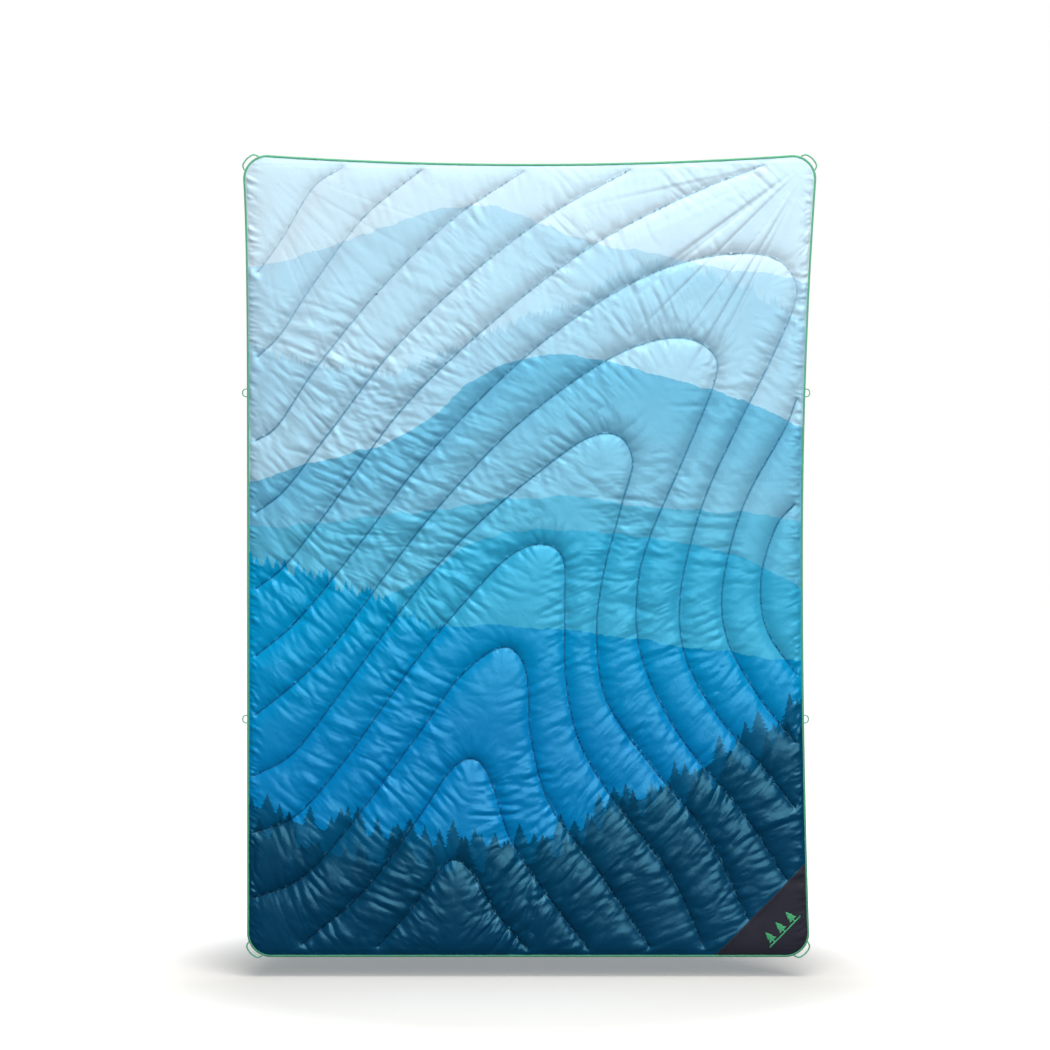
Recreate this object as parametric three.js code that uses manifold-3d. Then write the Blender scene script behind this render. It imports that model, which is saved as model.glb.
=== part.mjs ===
// Insulated camp blanket: a quilted sheet of face fabric, loose insulation and back fabric,
// bound all round with folded tape, with a cord loop at each corner and two on each side.
// It hangs by its top corners. Millimetres: X to the right, Y to the back, Z up. The origin is
// the middle of the straight line between the two held corners.

import * as THREE from "three";
import { mergeVertices } from "three/addons/utils/BufferGeometryUtils.js";
import Module from "manifold-3d";

const wasm = await Module();
wasm.setup();

// ---- Driving dimensions ----

const HEIGHT = 1905;
const HALF_WIDTH = 660;
const CORNER_RADIUS = 57;
const TOP_SAG = 21;
const LEFT_FLARE = 13;
const LEFT_FLARE_FADE = 170;
const WAIST_DROP = 950;
const RIGHT_FLARE_UP = 36;
const RIGHT_FLARE_DOWN = 17;

const HALF_LOFT = 9;
const HEM_INSET = 3;
const HEM_END = 9;
const LOFT_INSET = 26;
const HEM_FACE = 1.1;
const FABRIC = 0.8;
const BATT_HEM_FACE = 0.9;
const BATT_HEM_INSET = 12;
const BATT_LOFT_INSET = 27;
const GAP = 0.3;

const TAPE_WIDTH = 5;
const TAPE_HALF = 2.4;
const TAPE_CHAMFER = 0.9;
const SLOT_INSET = 2.5;
const SLOT_HALF = 1.5;
const STITCH_INSET = 3.6;
const STITCH_WIDTH = 0.7;
const STITCH_THICK = 0.5;

const THREAD_RADIUS = 0.6;
const THREAD_STEP = 45;

const PATCH_LEG_ACROSS = 230;
const PATCH_LEG_UP = 235;
const PATCH_THICK = 0.7;
const PATCH_INSET = TAPE_WIDTH + 0.4;
const PATCH_STITCH_MARGIN = 5;
const EMBROIDERY_THICK = 0.7;
const EMBROIDERY_INWARD = 80;
const EMBROIDERY_SHIFT = -2;

const CORNER_CORD = 4;
const CORNER_LOOP_CLEAR = 0.5;
const CORNER_LOOP_HALF_ANGLE = 22;
const CORNER_LOOP_REACH = 11;
const SIDE_CORD = 3;
const SIDE_LOOP_CLEAR = 0.8;
const SIDE_LOOP_HALF_SPAN = 9;
const SIDE_LOOP_REACH = 8;
const SIDE_LOOP_HEIGHTS = [-565, -1340];
const SHOULDER_ALONG = 0.25;
const SHOULDER_RISE = 0.72;
const KNOT_SCALE = 1.02;

// ---- Colours ----

const SKY_BLUE = 0x4fa6d4;
const NAVY = 0x173c5a;
const BATT_WHITE = 0xf1f2f0;
const MINT = 0x5fc08c;
const SEAM_BLUE = 0x2b6f9c;
const AUBERGINE = 0x27232f;

// ---- Quilting lines: points on each stitched line, [across, up] in mm ----

const QUILT_LINES = {
  half_1: [[-435, -30], [-505, -80], [-575, -195], [-635, -280]],
  half_2: [[-245, -35], [-385, -150], [-505, -310], [-580, -425], [-635, -480]],
  half_3: [[-5, -40], [-175, -155], [-340, -315], [-495, -505], [-585, -640], [-640, -680]],
  half_4: [[250, -35], [55, -145], [-130, -285], [-310, -460], [-465, -660], [-570, -795],
    [-640, -850]],
  half_5: [[565, -25], [390, -95], [170, -210], [-45, -370], [-280, -590], [-465, -840],
    [-570, -975], [-640, -1030]],
  arch_7: [[-640, -1190], [-535, -1100], [-390, -920], [-250, -735], [-60, -535], [115, -390],
    [295, -285], [450, -240], [575, -240], [635, -285], [640, -355], [580, -495], [500, -655],
    [420, -835], [370, -1035], [380, -1190], [455, -1330], [560, -1450], [640, -1550]],
  arch_6: [[-640, -1330], [-535, -1245], [-440, -1145], [-250, -890], [-60, -680], [105, -545],
    [250, -460], [370, -435], [445, -470], [450, -540], [375, -725], [290, -925], [265, -1055],
    [280, -1205], [370, -1385], [515, -1560], [620, -1720]],
  arch_5: [[-645, -1475], [-550, -1420], [-440, -1280], [-250, -1025], [-105, -870], [50, -740],
    [155, -670], [225, -670], [255, -730], [230, -830], [185, -1000], [170, -1150],
    [195, -1300], [295, -1445], [430, -1615], [529, -1814]],
  arch_4: [[-645, -1610], [-545, -1570], [-430, -1440], [-250, -1190], [-105, -1020],
    [-25, -945], [45, -925], [90, -960], [95, -1070], [95, -1225], [125, -1385], [205, -1525],
    [345, -1710], [425, -1880]],
  arch_3: [[-645, -1765], [-535, -1720], [-425, -1605], [-260, -1385], [-155, -1240],
    [-55, -1170], [0, -1220], [15, -1390], [60, -1545], [180, -1710], [295, -1880]],
  arch_2: [[-530, -1875], [-380, -1745], [-250, -1570], [-175, -1460], [-120, -1435],
    [-80, -1490], [-35, -1625], [50, -1755], [150, -1885]],
  arch_1: [[-350, -1880], [-270, -1790], [-200, -1695], [-165, -1675], [-125, -1705],
    [-65, -1805], [5, -1885]],
  side_1: [[645, -580], [615, -655], [520, -830], [470, -1020], [480, -1150], [550, -1280],
    [640, -1395]],
  side_2: [[640, -830], [595, -885], [560, -1010], [575, -1130], [645, -1235]],
};

// ---- Outline of the hanging blanket ----

function leftEdge(z) {
  return -HALF_WIDTH - LEFT_FLARE * Math.exp(z / LEFT_FLARE_FADE);
}

function rightEdge(z) {
  const fromWaist = (z + WAIST_DROP) / WAIST_DROP;
  const flare = fromWaist > 0 ? RIGHT_FLARE_UP : RIGHT_FLARE_DOWN;
  return HALF_WIDTH + flare * fromWaist ** 2;
}

function topEdge(x) {
  return -TOP_SAG * (1 - (x / HALF_WIDTH) ** 2);
}

function cornerArc(centreX, centreZ, startAngle) {
  const steps = 6;
  return Array.from({ length: steps + 1 }, (_, i) => {
    const angle = startAngle + (i / steps) * (Math.PI / 2);
    return new THREE.Vector2(
      centreX + CORNER_RADIUS * Math.cos(angle),
      centreZ + CORNER_RADIUS * Math.sin(angle),
    );
  });
}

function between(from, to, steps, place) {
  return Array.from({ length: steps - 1 }, (_, i) =>
    place(THREE.MathUtils.lerp(from, to, (i + 1) / steps)),
  );
}

// Anticlockwise as seen from the front, starting at the lower left corner.
function blanketOutline() {
  const low = -HEIGHT + CORNER_RADIUS;
  const high = -CORNER_RADIUS;
  const left = leftEdge(high) + CORNER_RADIUS;
  const right = rightEdge(high) - CORNER_RADIUS;
  return [
    ...cornerArc(leftEdge(low) + CORNER_RADIUS, low, Math.PI),
    ...cornerArc(rightEdge(low) - CORNER_RADIUS, low, -Math.PI / 2),
    ...between(low, high, 12, (z) => new THREE.Vector2(rightEdge(z), z)),
    ...cornerArc(right, high, 0),
    ...between(right, left, 12, (x) => new THREE.Vector2(x, topEdge(x))),
    ...cornerArc(left, high, Math.PI / 2),
    ...between(high, low, 12, (z) => new THREE.Vector2(leftEdge(z), z)),
  ];
}

const OUTLINE = blanketOutline();

// The large faces are closed round a small disc that lies between two quilting lines.
const DISC_CENTRE = new THREE.Vector2(-10, -1050);
const DISC_SCALE = 0.05;

function insetOutline(inset) {
  return OUTLINE.map((point, i) => {
    const before = OUTLINE.at(i - 1);
    const after = OUTLINE[(i + 1) % OUTLINE.length];
    const along = after.clone().sub(before).normalize();
    return new THREE.Vector2(point.x - along.y * inset, point.y + along.x * inset);
  });
}

// ---- Solids ----

function orientOutward(geometry) {
  const position = geometry.getAttribute("position");
  const index = Array.from(geometry.getIndex().array);
  const [a, b, c] = [new THREE.Vector3(), new THREE.Vector3(), new THREE.Vector3()];
  let volume = 0;
  for (let i = 0; i < index.length; i += 3) {
    a.fromBufferAttribute(position, index[i]);
    b.fromBufferAttribute(position, index[i + 1]);
    c.fromBufferAttribute(position, index[i + 2]);
    volume += a.dot(b.cross(c));
  }
  if (volume < 0) {
    geometry.setIndex(index.reverse());
  }
  return geometry;
}

function mergedPositions(geometry) {
  const bare = geometry.clone();
  bare.deleteAttribute("normal");
  bare.deleteAttribute("uv");
  return orientOutward(mergeVertices(bare, 1e-3));
}

function discOutline() {
  return OUTLINE.map((point) => DISC_CENTRE.clone().lerp(point, DISC_SCALE));
}

function sectionRings(section, closed) {
  const rings = section.map(([inset, y]) => ({ y, points: insetOutline(inset) }));
  if (closed) {
    return rings;
  }
  const first = { y: section[0][1], points: discOutline() };
  const last = { y: section.at(-1)[1], points: discOutline() };
  return [first, ...rings, last];
}

// A section of [inset, y] points carried round the outline. A closed section makes a ring; an
// open one is closed at its two ends by flat faces.
function aroundOutline(section, closed) {
  const size = OUTLINE.length;
  const rings = sectionRings(section, closed);
  const positions = rings.flatMap(({ y, points }) =>
    points.flatMap((point) => [point.x, y, point.y]),
  );
  const index = [];
  const bands = closed ? rings.length : rings.length - 1;
  for (let band = 0; band < bands; band += 1) {
    const from = band * size;
    const to = ((band + 1) % rings.length) * size;
    for (let i = 0; i < size; i += 1) {
      const next = (i + 1) % size;
      index.push(from + i, from + next, to + next, from + i, to + next, to + i);
    }
  }
  if (!closed) {
    const first = rings.length * size;
    const last = first + 1;
    const end = (rings.length - 1) * size;
    positions.push(DISC_CENTRE.x, rings[0].y, DISC_CENTRE.y);
    positions.push(DISC_CENTRE.x, rings.at(-1).y, DISC_CENTRE.y);
    for (let i = 0; i < size; i += 1) {
      const next = (i + 1) % size;
      index.push(first, next, i);
      index.push(last, end + i, end + next);
    }
  }
  const geometry = new THREE.BufferGeometry();
  geometry.setAttribute("position", new THREE.Float32BufferAttribute(positions, 3));
  geometry.setIndex(index);
  return orientOutward(geometry);
}

function tube(points, radius, sides, steps) {
  const path = new THREE.CatmullRomCurve3(points, false, "catmullrom");
  const section = new THREE.Shape(
    Array.from({ length: sides }, (_, i) => {
      const angle = (i / sides) * 2 * Math.PI;
      return new THREE.Vector2(radius * Math.cos(angle), radius * Math.sin(angle));
    }),
  );
  const geometry = new THREE.ExtrudeGeometry(section, { steps, extrudePath: path });
  return mergedPositions(geometry);
}

function toSolid(geometry) {
  const bare = mergedPositions(geometry);
  return new wasm.Manifold(
    new wasm.Mesh({
      numProp: 3,
      vertProperties: new Float32Array(bare.getAttribute("position").array),
      triVerts: new Uint32Array(bare.getIndex().array),
    }),
  );
}

function toGeometry(solid) {
  const mesh = solid.getMesh();
  const geometry = new THREE.BufferGeometry();
  geometry.setAttribute("position", new THREE.Float32BufferAttribute(mesh.vertProperties, 3));
  geometry.setIndex(Array.from(mesh.triVerts));
  return geometry;
}

// ---- Scene graph ----

const blanket = new THREE.Group();

function add(name, geometry, color, roughness = 0.6) {
  const material = new THREE.MeshStandardMaterial({ color, roughness, metalness: 0 });
  const mesh = new THREE.Mesh(geometry, material);
  mesh.name = name;
  blanket.add(mesh);
  return mesh;
}

// side is -1 for the front of the blanket and 1 for its back.
function faceSection(side, lift) {
  return [
    [HEM_INSET, side * (HEM_FACE + lift)],
    [HEM_END, side * (HEM_FACE + lift)],
    [LOFT_INSET, side * (HALF_LOFT + lift)],
  ];
}

function addFabrics() {
  for (const [name, side, color] of [["front_fabric", -1, SKY_BLUE], ["back_fabric", 1, NAVY]]) {
    const outside = faceSection(side, 0).reverse();
    const inside = faceSection(side, -FABRIC);
    add(name, aroundOutline([...outside, ...inside], false), color, 0.45);
  }
}

function addInsulation() {
  const face = HALF_LOFT - FABRIC - GAP;
  const section = [
    [BATT_LOFT_INSET, -face],
    [BATT_HEM_INSET, -BATT_HEM_FACE],
    [BATT_HEM_INSET, BATT_HEM_FACE],
    [BATT_LOFT_INSET, face],
  ];
  add("insulation_batt", aroundOutline(section, false), BATT_WHITE, 0.95);
}

function addBinding() {
  const halfProfile = [
    [TAPE_CHAMFER, -TAPE_HALF],
    [TAPE_WIDTH, -TAPE_HALF],
    [TAPE_WIDTH, -SLOT_HALF],
    [SLOT_INSET, -SLOT_HALF],
  ];
  const otherHalf = halfProfile.map(([inset, y]) => [inset, -y]).reverse();
  const outerEdge = [[0, TAPE_HALF - TAPE_CHAMFER], [0, TAPE_CHAMFER - TAPE_HALF]];
  const section = [...halfProfile, ...otherHalf, ...outerEdge];
  add("edge_binding", aroundOutline(section, true), MINT, 0.7);
}

function addBindingStitches() {
  const outer = STITCH_INSET;
  const inner = STITCH_INSET + STITCH_WIDTH;
  for (const [name, side] of [["binding_stitch_front", -1], ["binding_stitch_back", 1]]) {
    const low = side * (TAPE_HALF + GAP);
    const high = side * (TAPE_HALF + GAP + STITCH_THICK);
    const section = [[outer, low], [inner, low], [inner, high], [outer, high]];
    add(name, aroundOutline(section, true), MINT, 0.6);
  }
}

function threadLine(points, y) {
  const path = points.map(([x, z]) => new THREE.Vector3(x, y, z));
  const length = new THREE.CatmullRomCurve3(path).getLength();
  return tube(path, THREAD_RADIUS, 4, Math.round(length / THREAD_STEP));
}

function addQuilting() {
  const clear = HALF_LOFT + GAP + THREAD_RADIUS;
  for (const [line, points] of Object.entries(QUILT_LINES)) {
    add(`quilt_thread_front_${line}`, threadLine(points, -clear), SEAM_BLUE);
    add(`quilt_thread_back_${line}`, threadLine(points, clear), NAVY);
  }
}

// ---- Corner patch: a triangle of plain cloth across the lower right corner ----

const PATCH_LOW = new THREE.Vector2(rightEdge(-HEIGHT) - PATCH_LEG_ACROSS, -HEIGHT);
const PATCH_HIGH = new THREE.Vector2(rightEdge(-HEIGHT), -HEIGHT + PATCH_LEG_UP);
const PATCH_ALONG = PATCH_HIGH.clone().sub(PATCH_LOW).normalize();
const PATCH_INWARD = new THREE.Vector2(PATCH_ALONG.y, -PATCH_ALONG.x);

// A point measured along the patch's long edge from its middle, and from that edge into the patch.
function patchPoint(along, inward) {
  return PATCH_LOW.clone()
    .lerp(PATCH_HIGH, 0.5)
    .addScaledVector(PATCH_ALONG, along)
    .addScaledVector(PATCH_INWARD, inward);
}

function patchSection(lift) {
  const [, hem, face] = faceSection(-1, lift);
  return [[PATCH_INSET, hem[1]], hem, face];
}

function addPatch() {
  const outside = patchSection(GAP + PATCH_THICK).reverse();
  const cloth = toSolid(aroundOutline([...outside, ...patchSection(GAP)], false));
  const reach = PATCH_LEG_ACROSS + PATCH_LEG_UP;
  const corners = [
    patchPoint(-reach, 0),
    patchPoint(reach, 0),
    patchPoint(reach, reach),
    patchPoint(-reach, reach),
  ];
  const depth = 4 * HALF_LOFT;
  const wedge = new THREE.ExtrudeGeometry(new THREE.Shape(corners), {
    depth,
    bevelEnabled: false,
  });
  wedge.translate(0, 0, -depth / 2);
  wedge.rotateX(Math.PI / 2);
  add("corner_patch", toGeometry(cloth.intersect(toSolid(wedge))), AUBERGINE, 0.75);
}

function addPatchStitch() {
  const half = PATCH_HIGH.distanceTo(PATCH_LOW) / 2 - LOFT_INSET * 1.5;
  const y = -(HALF_LOFT + 2 * GAP + PATCH_THICK + THREAD_RADIUS);
  const ends = [-half, half].map((along) => patchPoint(along, PATCH_STITCH_MARGIN));
  const path = ends.map((end) => new THREE.Vector3(end.x, y, end.y));
  add("patch_stitch", tube(path, THREAD_RADIUS, 4, 4), AUBERGINE);
}

// Three small fir trees standing on one ground line, sewn as one satin-stitched motif.
function embroideryShape() {
  const groundHalf = 52;
  const groundHeight = 3;
  const treeSpacing = 34;
  const tree = [[-1.5, 0], [-1.5, 5], [-11, 5], [-5, 14], [-8, 14], [0, 30]];
  const mirrored = tree.slice(0, -1).map(([x, y]) => [-x, y]).reverse();
  const trees = [1, 0, -1].flatMap((place) =>
    [...tree, ...mirrored].map(([x, y]) => [-x + place * treeSpacing, y + groundHeight]),
  );
  const outline = [[-groundHalf, 0], [groundHalf, 0], [groundHalf, groundHeight], ...trees,
    [-groundHalf, groundHeight]];
  return new THREE.Shape(outline.map(([x, y]) => new THREE.Vector2(x, y)));
}

function addEmbroidery() {
  const geometry = new THREE.ExtrudeGeometry(embroideryShape(), {
    depth: EMBROIDERY_THICK,
    bevelEnabled: false,
  });
  const foot = patchPoint(EMBROIDERY_SHIFT, EMBROIDERY_INWARD);
  const mesh = add("patch_embroidery", mergedPositions(geometry), MINT, 0.5);
  mesh.rotation.set(Math.PI / 2, -Math.atan2(PATCH_ALONG.y, PATCH_ALONG.x), 0, "YXZ");
  mesh.position.set(foot.x, -(HALF_LOFT + 2 * GAP + PATCH_THICK), foot.y);
}

// ---- Cord loops, sewn at both ends to the binding ----

// A cord arch whose two ends lie on its hinge line; each end is a round knot of thread.
function loopSolid(ends, crown, radius) {
  const [first, last] = ends;
  const middle = first.clone().lerp(last, 0.5);
  const rise = crown.clone().sub(middle);
  const shoulders = [first, last].map((end) =>
    end.clone().lerp(middle, SHOULDER_ALONG).addScaledVector(rise, SHOULDER_RISE),
  );
  const path = [first, shoulders[0], crown, shoulders[1], last];
  const knot = new THREE.SphereGeometry(radius * KNOT_SCALE, 8, 6);
  const knots = [first, last].map((end) =>
    toSolid(knot.clone().translate(end.x, end.y, end.z)),
  );
  const cord = toSolid(tube(path, radius, 8, 10));
  return toGeometry(knots.reduce((body, end) => body.add(end), cord));
}

// The crown points in the direction of turn, from the centre of the corner's arc.
function addCornerLoop(name, centreX, centreZ, turn) {
  const half = THREE.MathUtils.degToRad(CORNER_LOOP_HALF_ANGLE);
  const radius = CORNER_CORD / 2;
  const foot = CORNER_RADIUS + radius + CORNER_LOOP_CLEAR;
  const crownReach = CORNER_RADIUS + CORNER_LOOP_REACH;
  const place = (angle, reach) =>
    new THREE.Vector3(
      centreX + reach * Math.cos(angle),
      0,
      centreZ + reach * Math.sin(angle),
    );
  const ends = [place(turn - half, foot), place(turn + half, foot)];
  add(name, loopSolid(ends, place(turn, crownReach), radius), MINT, 0.7);
}

function addCornerLoops() {
  const low = -HEIGHT + CORNER_RADIUS;
  const high = -CORNER_RADIUS;
  for (const [place, z, slope] of [["top", high, 1], ["bottom", low, -1]]) {
    const quarter = (slope * Math.PI) / 4;
    const left = leftEdge(z) + CORNER_RADIUS;
    const right = rightEdge(z) - CORNER_RADIUS;
    addCornerLoop(`corner_loop_${place}_left`, left, z, Math.PI - quarter);
    addCornerLoop(`corner_loop_${place}_right`, right, z, quarter);
  }
}

function addSideLoops() {
  const radius = SIDE_CORD / 2;
  const halfSpan = SIDE_LOOP_HALF_SPAN;
  for (const [side, edge, out] of [["left", leftEdge, -1], ["right", rightEdge, 1]]) {
    SIDE_LOOP_HEIGHTS.forEach((z, i) => {
      const foot = edge(z) + out * (radius + SIDE_LOOP_CLEAR);
      const ends = [-halfSpan, halfSpan].map((rise) => new THREE.Vector3(foot, 0, z + rise));
      const crown = new THREE.Vector3(foot + out * SIDE_LOOP_REACH, 0, z);
      const place = i === 0 ? "upper" : "lower";
      add(`side_loop_${place}_${side}`, loopSolid(ends, crown, radius), MINT, 0.7);
    });
  }
}

addFabrics();
addInsulation();
addBinding();
addBindingStitches();
addQuilting();
addPatch();
addPatchStitch();
addEmbroidery();
addCornerLoops();
addSideLoops();

export default blanket;
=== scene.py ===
"""Looks of the insulated camp blanket: relaxed cloth, quilting, binding, patch and cord loops.

Metres: X to the right, Y to the back, Z up. The origin is the middle of the straight line
between the two held corners. "Flat" coordinates are the cut cloth's own: across from its middle
line, and down from its top edge as a negative height.
"""

import math

import bpy
import numpy as np
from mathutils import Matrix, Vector
from mathutils.bvhtree import BVHTree
from mathutils.kdtree import KDTree


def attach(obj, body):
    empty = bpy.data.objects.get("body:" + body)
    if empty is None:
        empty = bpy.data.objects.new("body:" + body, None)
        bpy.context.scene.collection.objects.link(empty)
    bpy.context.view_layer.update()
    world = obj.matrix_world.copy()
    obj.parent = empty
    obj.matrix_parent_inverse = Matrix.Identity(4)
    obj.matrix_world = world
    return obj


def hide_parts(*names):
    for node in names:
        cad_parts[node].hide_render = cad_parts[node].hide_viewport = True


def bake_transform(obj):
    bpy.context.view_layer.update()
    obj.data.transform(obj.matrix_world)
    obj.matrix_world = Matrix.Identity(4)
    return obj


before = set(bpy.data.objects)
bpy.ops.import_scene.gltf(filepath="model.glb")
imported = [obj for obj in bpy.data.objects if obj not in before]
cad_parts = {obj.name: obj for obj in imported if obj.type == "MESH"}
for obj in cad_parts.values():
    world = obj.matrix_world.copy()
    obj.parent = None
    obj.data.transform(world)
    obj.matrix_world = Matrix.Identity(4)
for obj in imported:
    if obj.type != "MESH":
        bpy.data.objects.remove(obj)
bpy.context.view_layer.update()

MM = 0.001

# ---- Outline of the hanging blanket, as in the CAD model ----

HEIGHT = 1.905
HALF_WIDTH = 0.660
CORNER_RADIUS = 0.057
TOP_SAG = 0.021
LEFT_FLARE = 0.013
LEFT_FLARE_FADE = 0.170
WAIST_DROP = 0.950
RIGHT_FLARE_UP = 0.036
RIGHT_FLARE_DOWN = 0.017
FLAT_SIZE = (2 * HALF_WIDTH, HEIGHT)

# ---- Cloth ----

SPACING = 3.2 * MM
CURVE_STEPS = 40
HEM_INSET = 2.8 * MM
HEM_PINNED = 6 * MM
SEAM_HALF = 0.8 * MM
SEAM_SNAP = 0.56
SEAM_FAR = 50 * MM
LEAST_OUTSIDE = 0.6 * SEAM_HALF
LOFT = 13 * MM
LOFT_REACH = 19 * MM
BACK_LOFT = 0.85
PATCH_LOFT = 0.75
LOFT_PATCHINESS = 0.16
LOFT_PATCH_SIZE = 90 * MM
PUFF_STEPS = 500
SEAM_GATHER = 0.030
CHANNEL_GATHER = 0.016
GATHER_REACH = 20 * MM
DRAG_GATHER = 0.020
DRAG_FADE = 0.12
EDGE_GATHER = 0.09
EDGE_REACH = 10 * MM
BEND = 0.22
BATT_SUPPORT = 0.003
RELAX_STEPS = 250
RELAX_SHARE = 0.35
SEED = 7

# The slow waves of the whole hanging blanket: their depth in mm, size and distance from the edge
# at which they reach it.
SWELL_DEPTH = 2.4
SWELL_SIZE = 0.36
SWELL_FADE = 0.12

# First small waves that the relaxation grows into puckers: two along the seams and one along the
# edge, each with its wavelength and its height in mm.
SEAM_WAVES = [(12 * MM, 0.5), (23 * MM, 0.3)]
SEAM_WAVE_SLANT = 0.35
SEAM_WAVE_REACH = 40 * MM
SEAM_WAVE_START = 4 * MM
EDGE_WAVE = (5 * MM, 0.8)
EDGE_WAVE_REACH = 12 * MM

# Creases across the channels: their spacing, length and depth, coarse and fine.
CREASES = [
    (22 * MM, 85 * MM, 4.6 * MM),
    (10 * MM, 34 * MM, 1.6 * MM),
]
CREASE_FADE = 22 * MM
CREASE_IN_CHANNEL = 0.45
CREASE_SLANT = 0.45
CREASE_SLANT_MEAN = 0.4
CREASE_SLANT_SIZE = 0.16
CREASE_MEAN_BUMP = 0.35
CREASE_START = 5 * MM
EDGE_CREASES = (10 * MM, 45 * MM, 6.5 * MM)
EDGE_MEAN_BUMP = 0.2
EDGE_STRIP = 24 * MM
HEM_EASE = 4 * MM
BEARINGS = 8
BEARING_FOCUS = 6
BEARING_BLURS = 120
TAUT_LOFT = 0.55
TAUT_REACH = 0.30
BATT_GAP = 1.6 * MM
BATT_FILL = 0.85
BATT_LEAST = 0.15 * MM

# The two corners the blanket hangs from: across, the share of the drag gather, the depth of the
# long folds in mm, and a seed.
HELD_CORNERS = [
    (-0.66, 0.35, 0.5, 11),
    (0.69, 1.0, 2.6, 12),
]
FOLDS_PER_RADIAN = 12
FOLD_REACH = 0.30
FOLD_FADE = 0.04
FOLD_WIDTH = 0.4
FOLD_WAVE = 0.5

# How strongly the cloth puckers: its mean, spread, patch size and limits.
LIVELY_MEAN = 0.6
LIVELY_SPREAD = 0.7
LIVELY_SIZE = 0.10
LIVELY_LIMITS = (0.05, 2.2)

# Where it puckers more, or less, than elsewhere: across, up, radius and how much.
LIVELY_SPOTS = [
    (-0.45, -0.55, 0.22, 1.2),
    (-0.18, -0.78, 0.26, 1.1),
    (-0.38, -0.97, 0.24, 1.2),
    (0.20, -0.58, 0.12, 0.8),
    (0.36, -0.38, 0.12, 1.0),
    (0.02, -0.86, 0.10, 0.6),
    (0.25, -0.98, 0.20, 0.8),
    (-0.15, -1.60, 0.35, 0.8),
    (0.35, -1.60, 0.28, 1.0),
    (-0.10, -1.84, 0.25, 1.3),
    (0.15, -0.72, 0.06, -0.8),
    (0.58, -0.80, 0.14, -0.6),
    (0.05, -0.12, 0.15, -0.4),
    (-0.48, -0.16, 0.30, -0.9),
]

# ---- Quilting lines: points on each stitched line, (across, up) in mm ----

QUILT_LINES = {
    "half_1": [(-435, -30), (-505, -80), (-575, -195), (-635, -280)],
    "half_2": [(-245, -35), (-385, -150), (-505, -310), (-580, -425), (-635, -480)],
    "half_3": [(-5, -40), (-175, -155), (-340, -315), (-495, -505), (-585, -640), (-640, -680)],
    "half_4": [(250, -35), (55, -145), (-130, -285), (-310, -460), (-465, -660), (-570, -795),
               (-640, -850)],
    "half_5": [(565, -25), (390, -95), (170, -210), (-45, -370), (-280, -590), (-465, -840),
               (-570, -975), (-640, -1030)],
    "arch_7": [(-640, -1190), (-535, -1100), (-390, -920), (-250, -735), (-60, -535), (115, -390),
               (295, -285), (450, -240), (575, -240), (635, -285), (640, -355), (580, -495),
               (500, -655), (420, -835), (370, -1035), (380, -1190), (455, -1330), (560, -1450),
               (640, -1550)],
    "arch_6": [(-640, -1330), (-535, -1245), (-440, -1145), (-250, -890), (-60, -680),
               (105, -545), (250, -460), (370, -435), (445, -470), (450, -540), (375, -725),
               (290, -925), (265, -1055), (280, -1205), (370, -1385), (515, -1560), (620, -1720)],
    "arch_5": [(-645, -1475), (-550, -1420), (-440, -1280), (-250, -1025), (-105, -870),
               (50, -740), (155, -670), (225, -670), (255, -730), (230, -830), (185, -1000),
               (170, -1150), (195, -1300), (295, -1445), (430, -1615), (529, -1814)],
    "arch_4": [(-645, -1610), (-545, -1570), (-430, -1440), (-250, -1190), (-105, -1020),
               (-25, -945), (45, -925), (90, -960), (95, -1070), (95, -1225), (125, -1385),
               (205, -1525), (345, -1710), (425, -1880)],
    "arch_3": [(-645, -1765), (-535, -1720), (-425, -1605), (-260, -1385), (-155, -1240),
               (-55, -1170), (0, -1220), (15, -1390), (60, -1545), (180, -1710), (295, -1880)],
    "arch_2": [(-530, -1875), (-380, -1745), (-250, -1570), (-175, -1460), (-120, -1435),
               (-80, -1490), (-35, -1625), (50, -1755), (150, -1885)],
    "arch_1": [(-350, -1880), (-270, -1790), (-200, -1695), (-165, -1675), (-125, -1705),
               (-65, -1805), (5, -1885)],
    "side_1": [(645, -580), (615, -655), (520, -830), (470, -1020), (480, -1150), (550, -1280),
               (640, -1395)],
    "side_2": [(640, -830), (595, -885), (560, -1010), (575, -1130), (645, -1235)],
}

# ---- Binding, threads, patch and loops ----

BINDING_STEP = 4 * MM
BINDING_STITCH_INSET = 3.8 * MM
BINDING_HALF = 2.2 * MM

# Half of the tape's section in mm, from its inner edge round to the fold: inset and half depth.
# Then the inside of the tape.
BINDING_OUTER = [
    (4.7, 1.3), (5.0, 1.7), (4.4, 2.0), (3.2, 2.25), (1.8, 2.2), (0.7, 1.6), (0.0, 0.7),
]
BINDING_INNER = [(2.3, 0.9), (2.8, 1.3)]

# How unevenly the tape is pulled in across its depth and its width: the share and the pitch.
BINDING_PULL = (0.10, 7 * MM)
BINDING_DRIFT = (0.05, 19 * MM)

STITCH = 3.2 * MM
THREAD = 0.4 * MM

# How far the thread lies out of the cloth at each quarter of a stitch, in thread radii.
STITCH_ARCH = (-0.4, 0.6, 0.9, 0.6)

PATCH_LEG_ACROSS = 0.230
PATCH_LEG_UP = 0.235
PATCH_INSET = 5.4 * MM
PATCH_LIFT = 0.7 * MM
PATCH_THICKNESS = 0.4 * MM
PATCH_WEAVE_PITCH = 0.8 * MM
PATCH_HEM = 0.35 * MM
PATCH_HEM_WIDTH = 3 * MM
PATCH_STITCH_INWARD = 5 * MM
PATCH_STITCH_LIFT = 0.75 * MM
PATCH_ROWS = 48
PATCH_COLUMNS = 72

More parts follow.
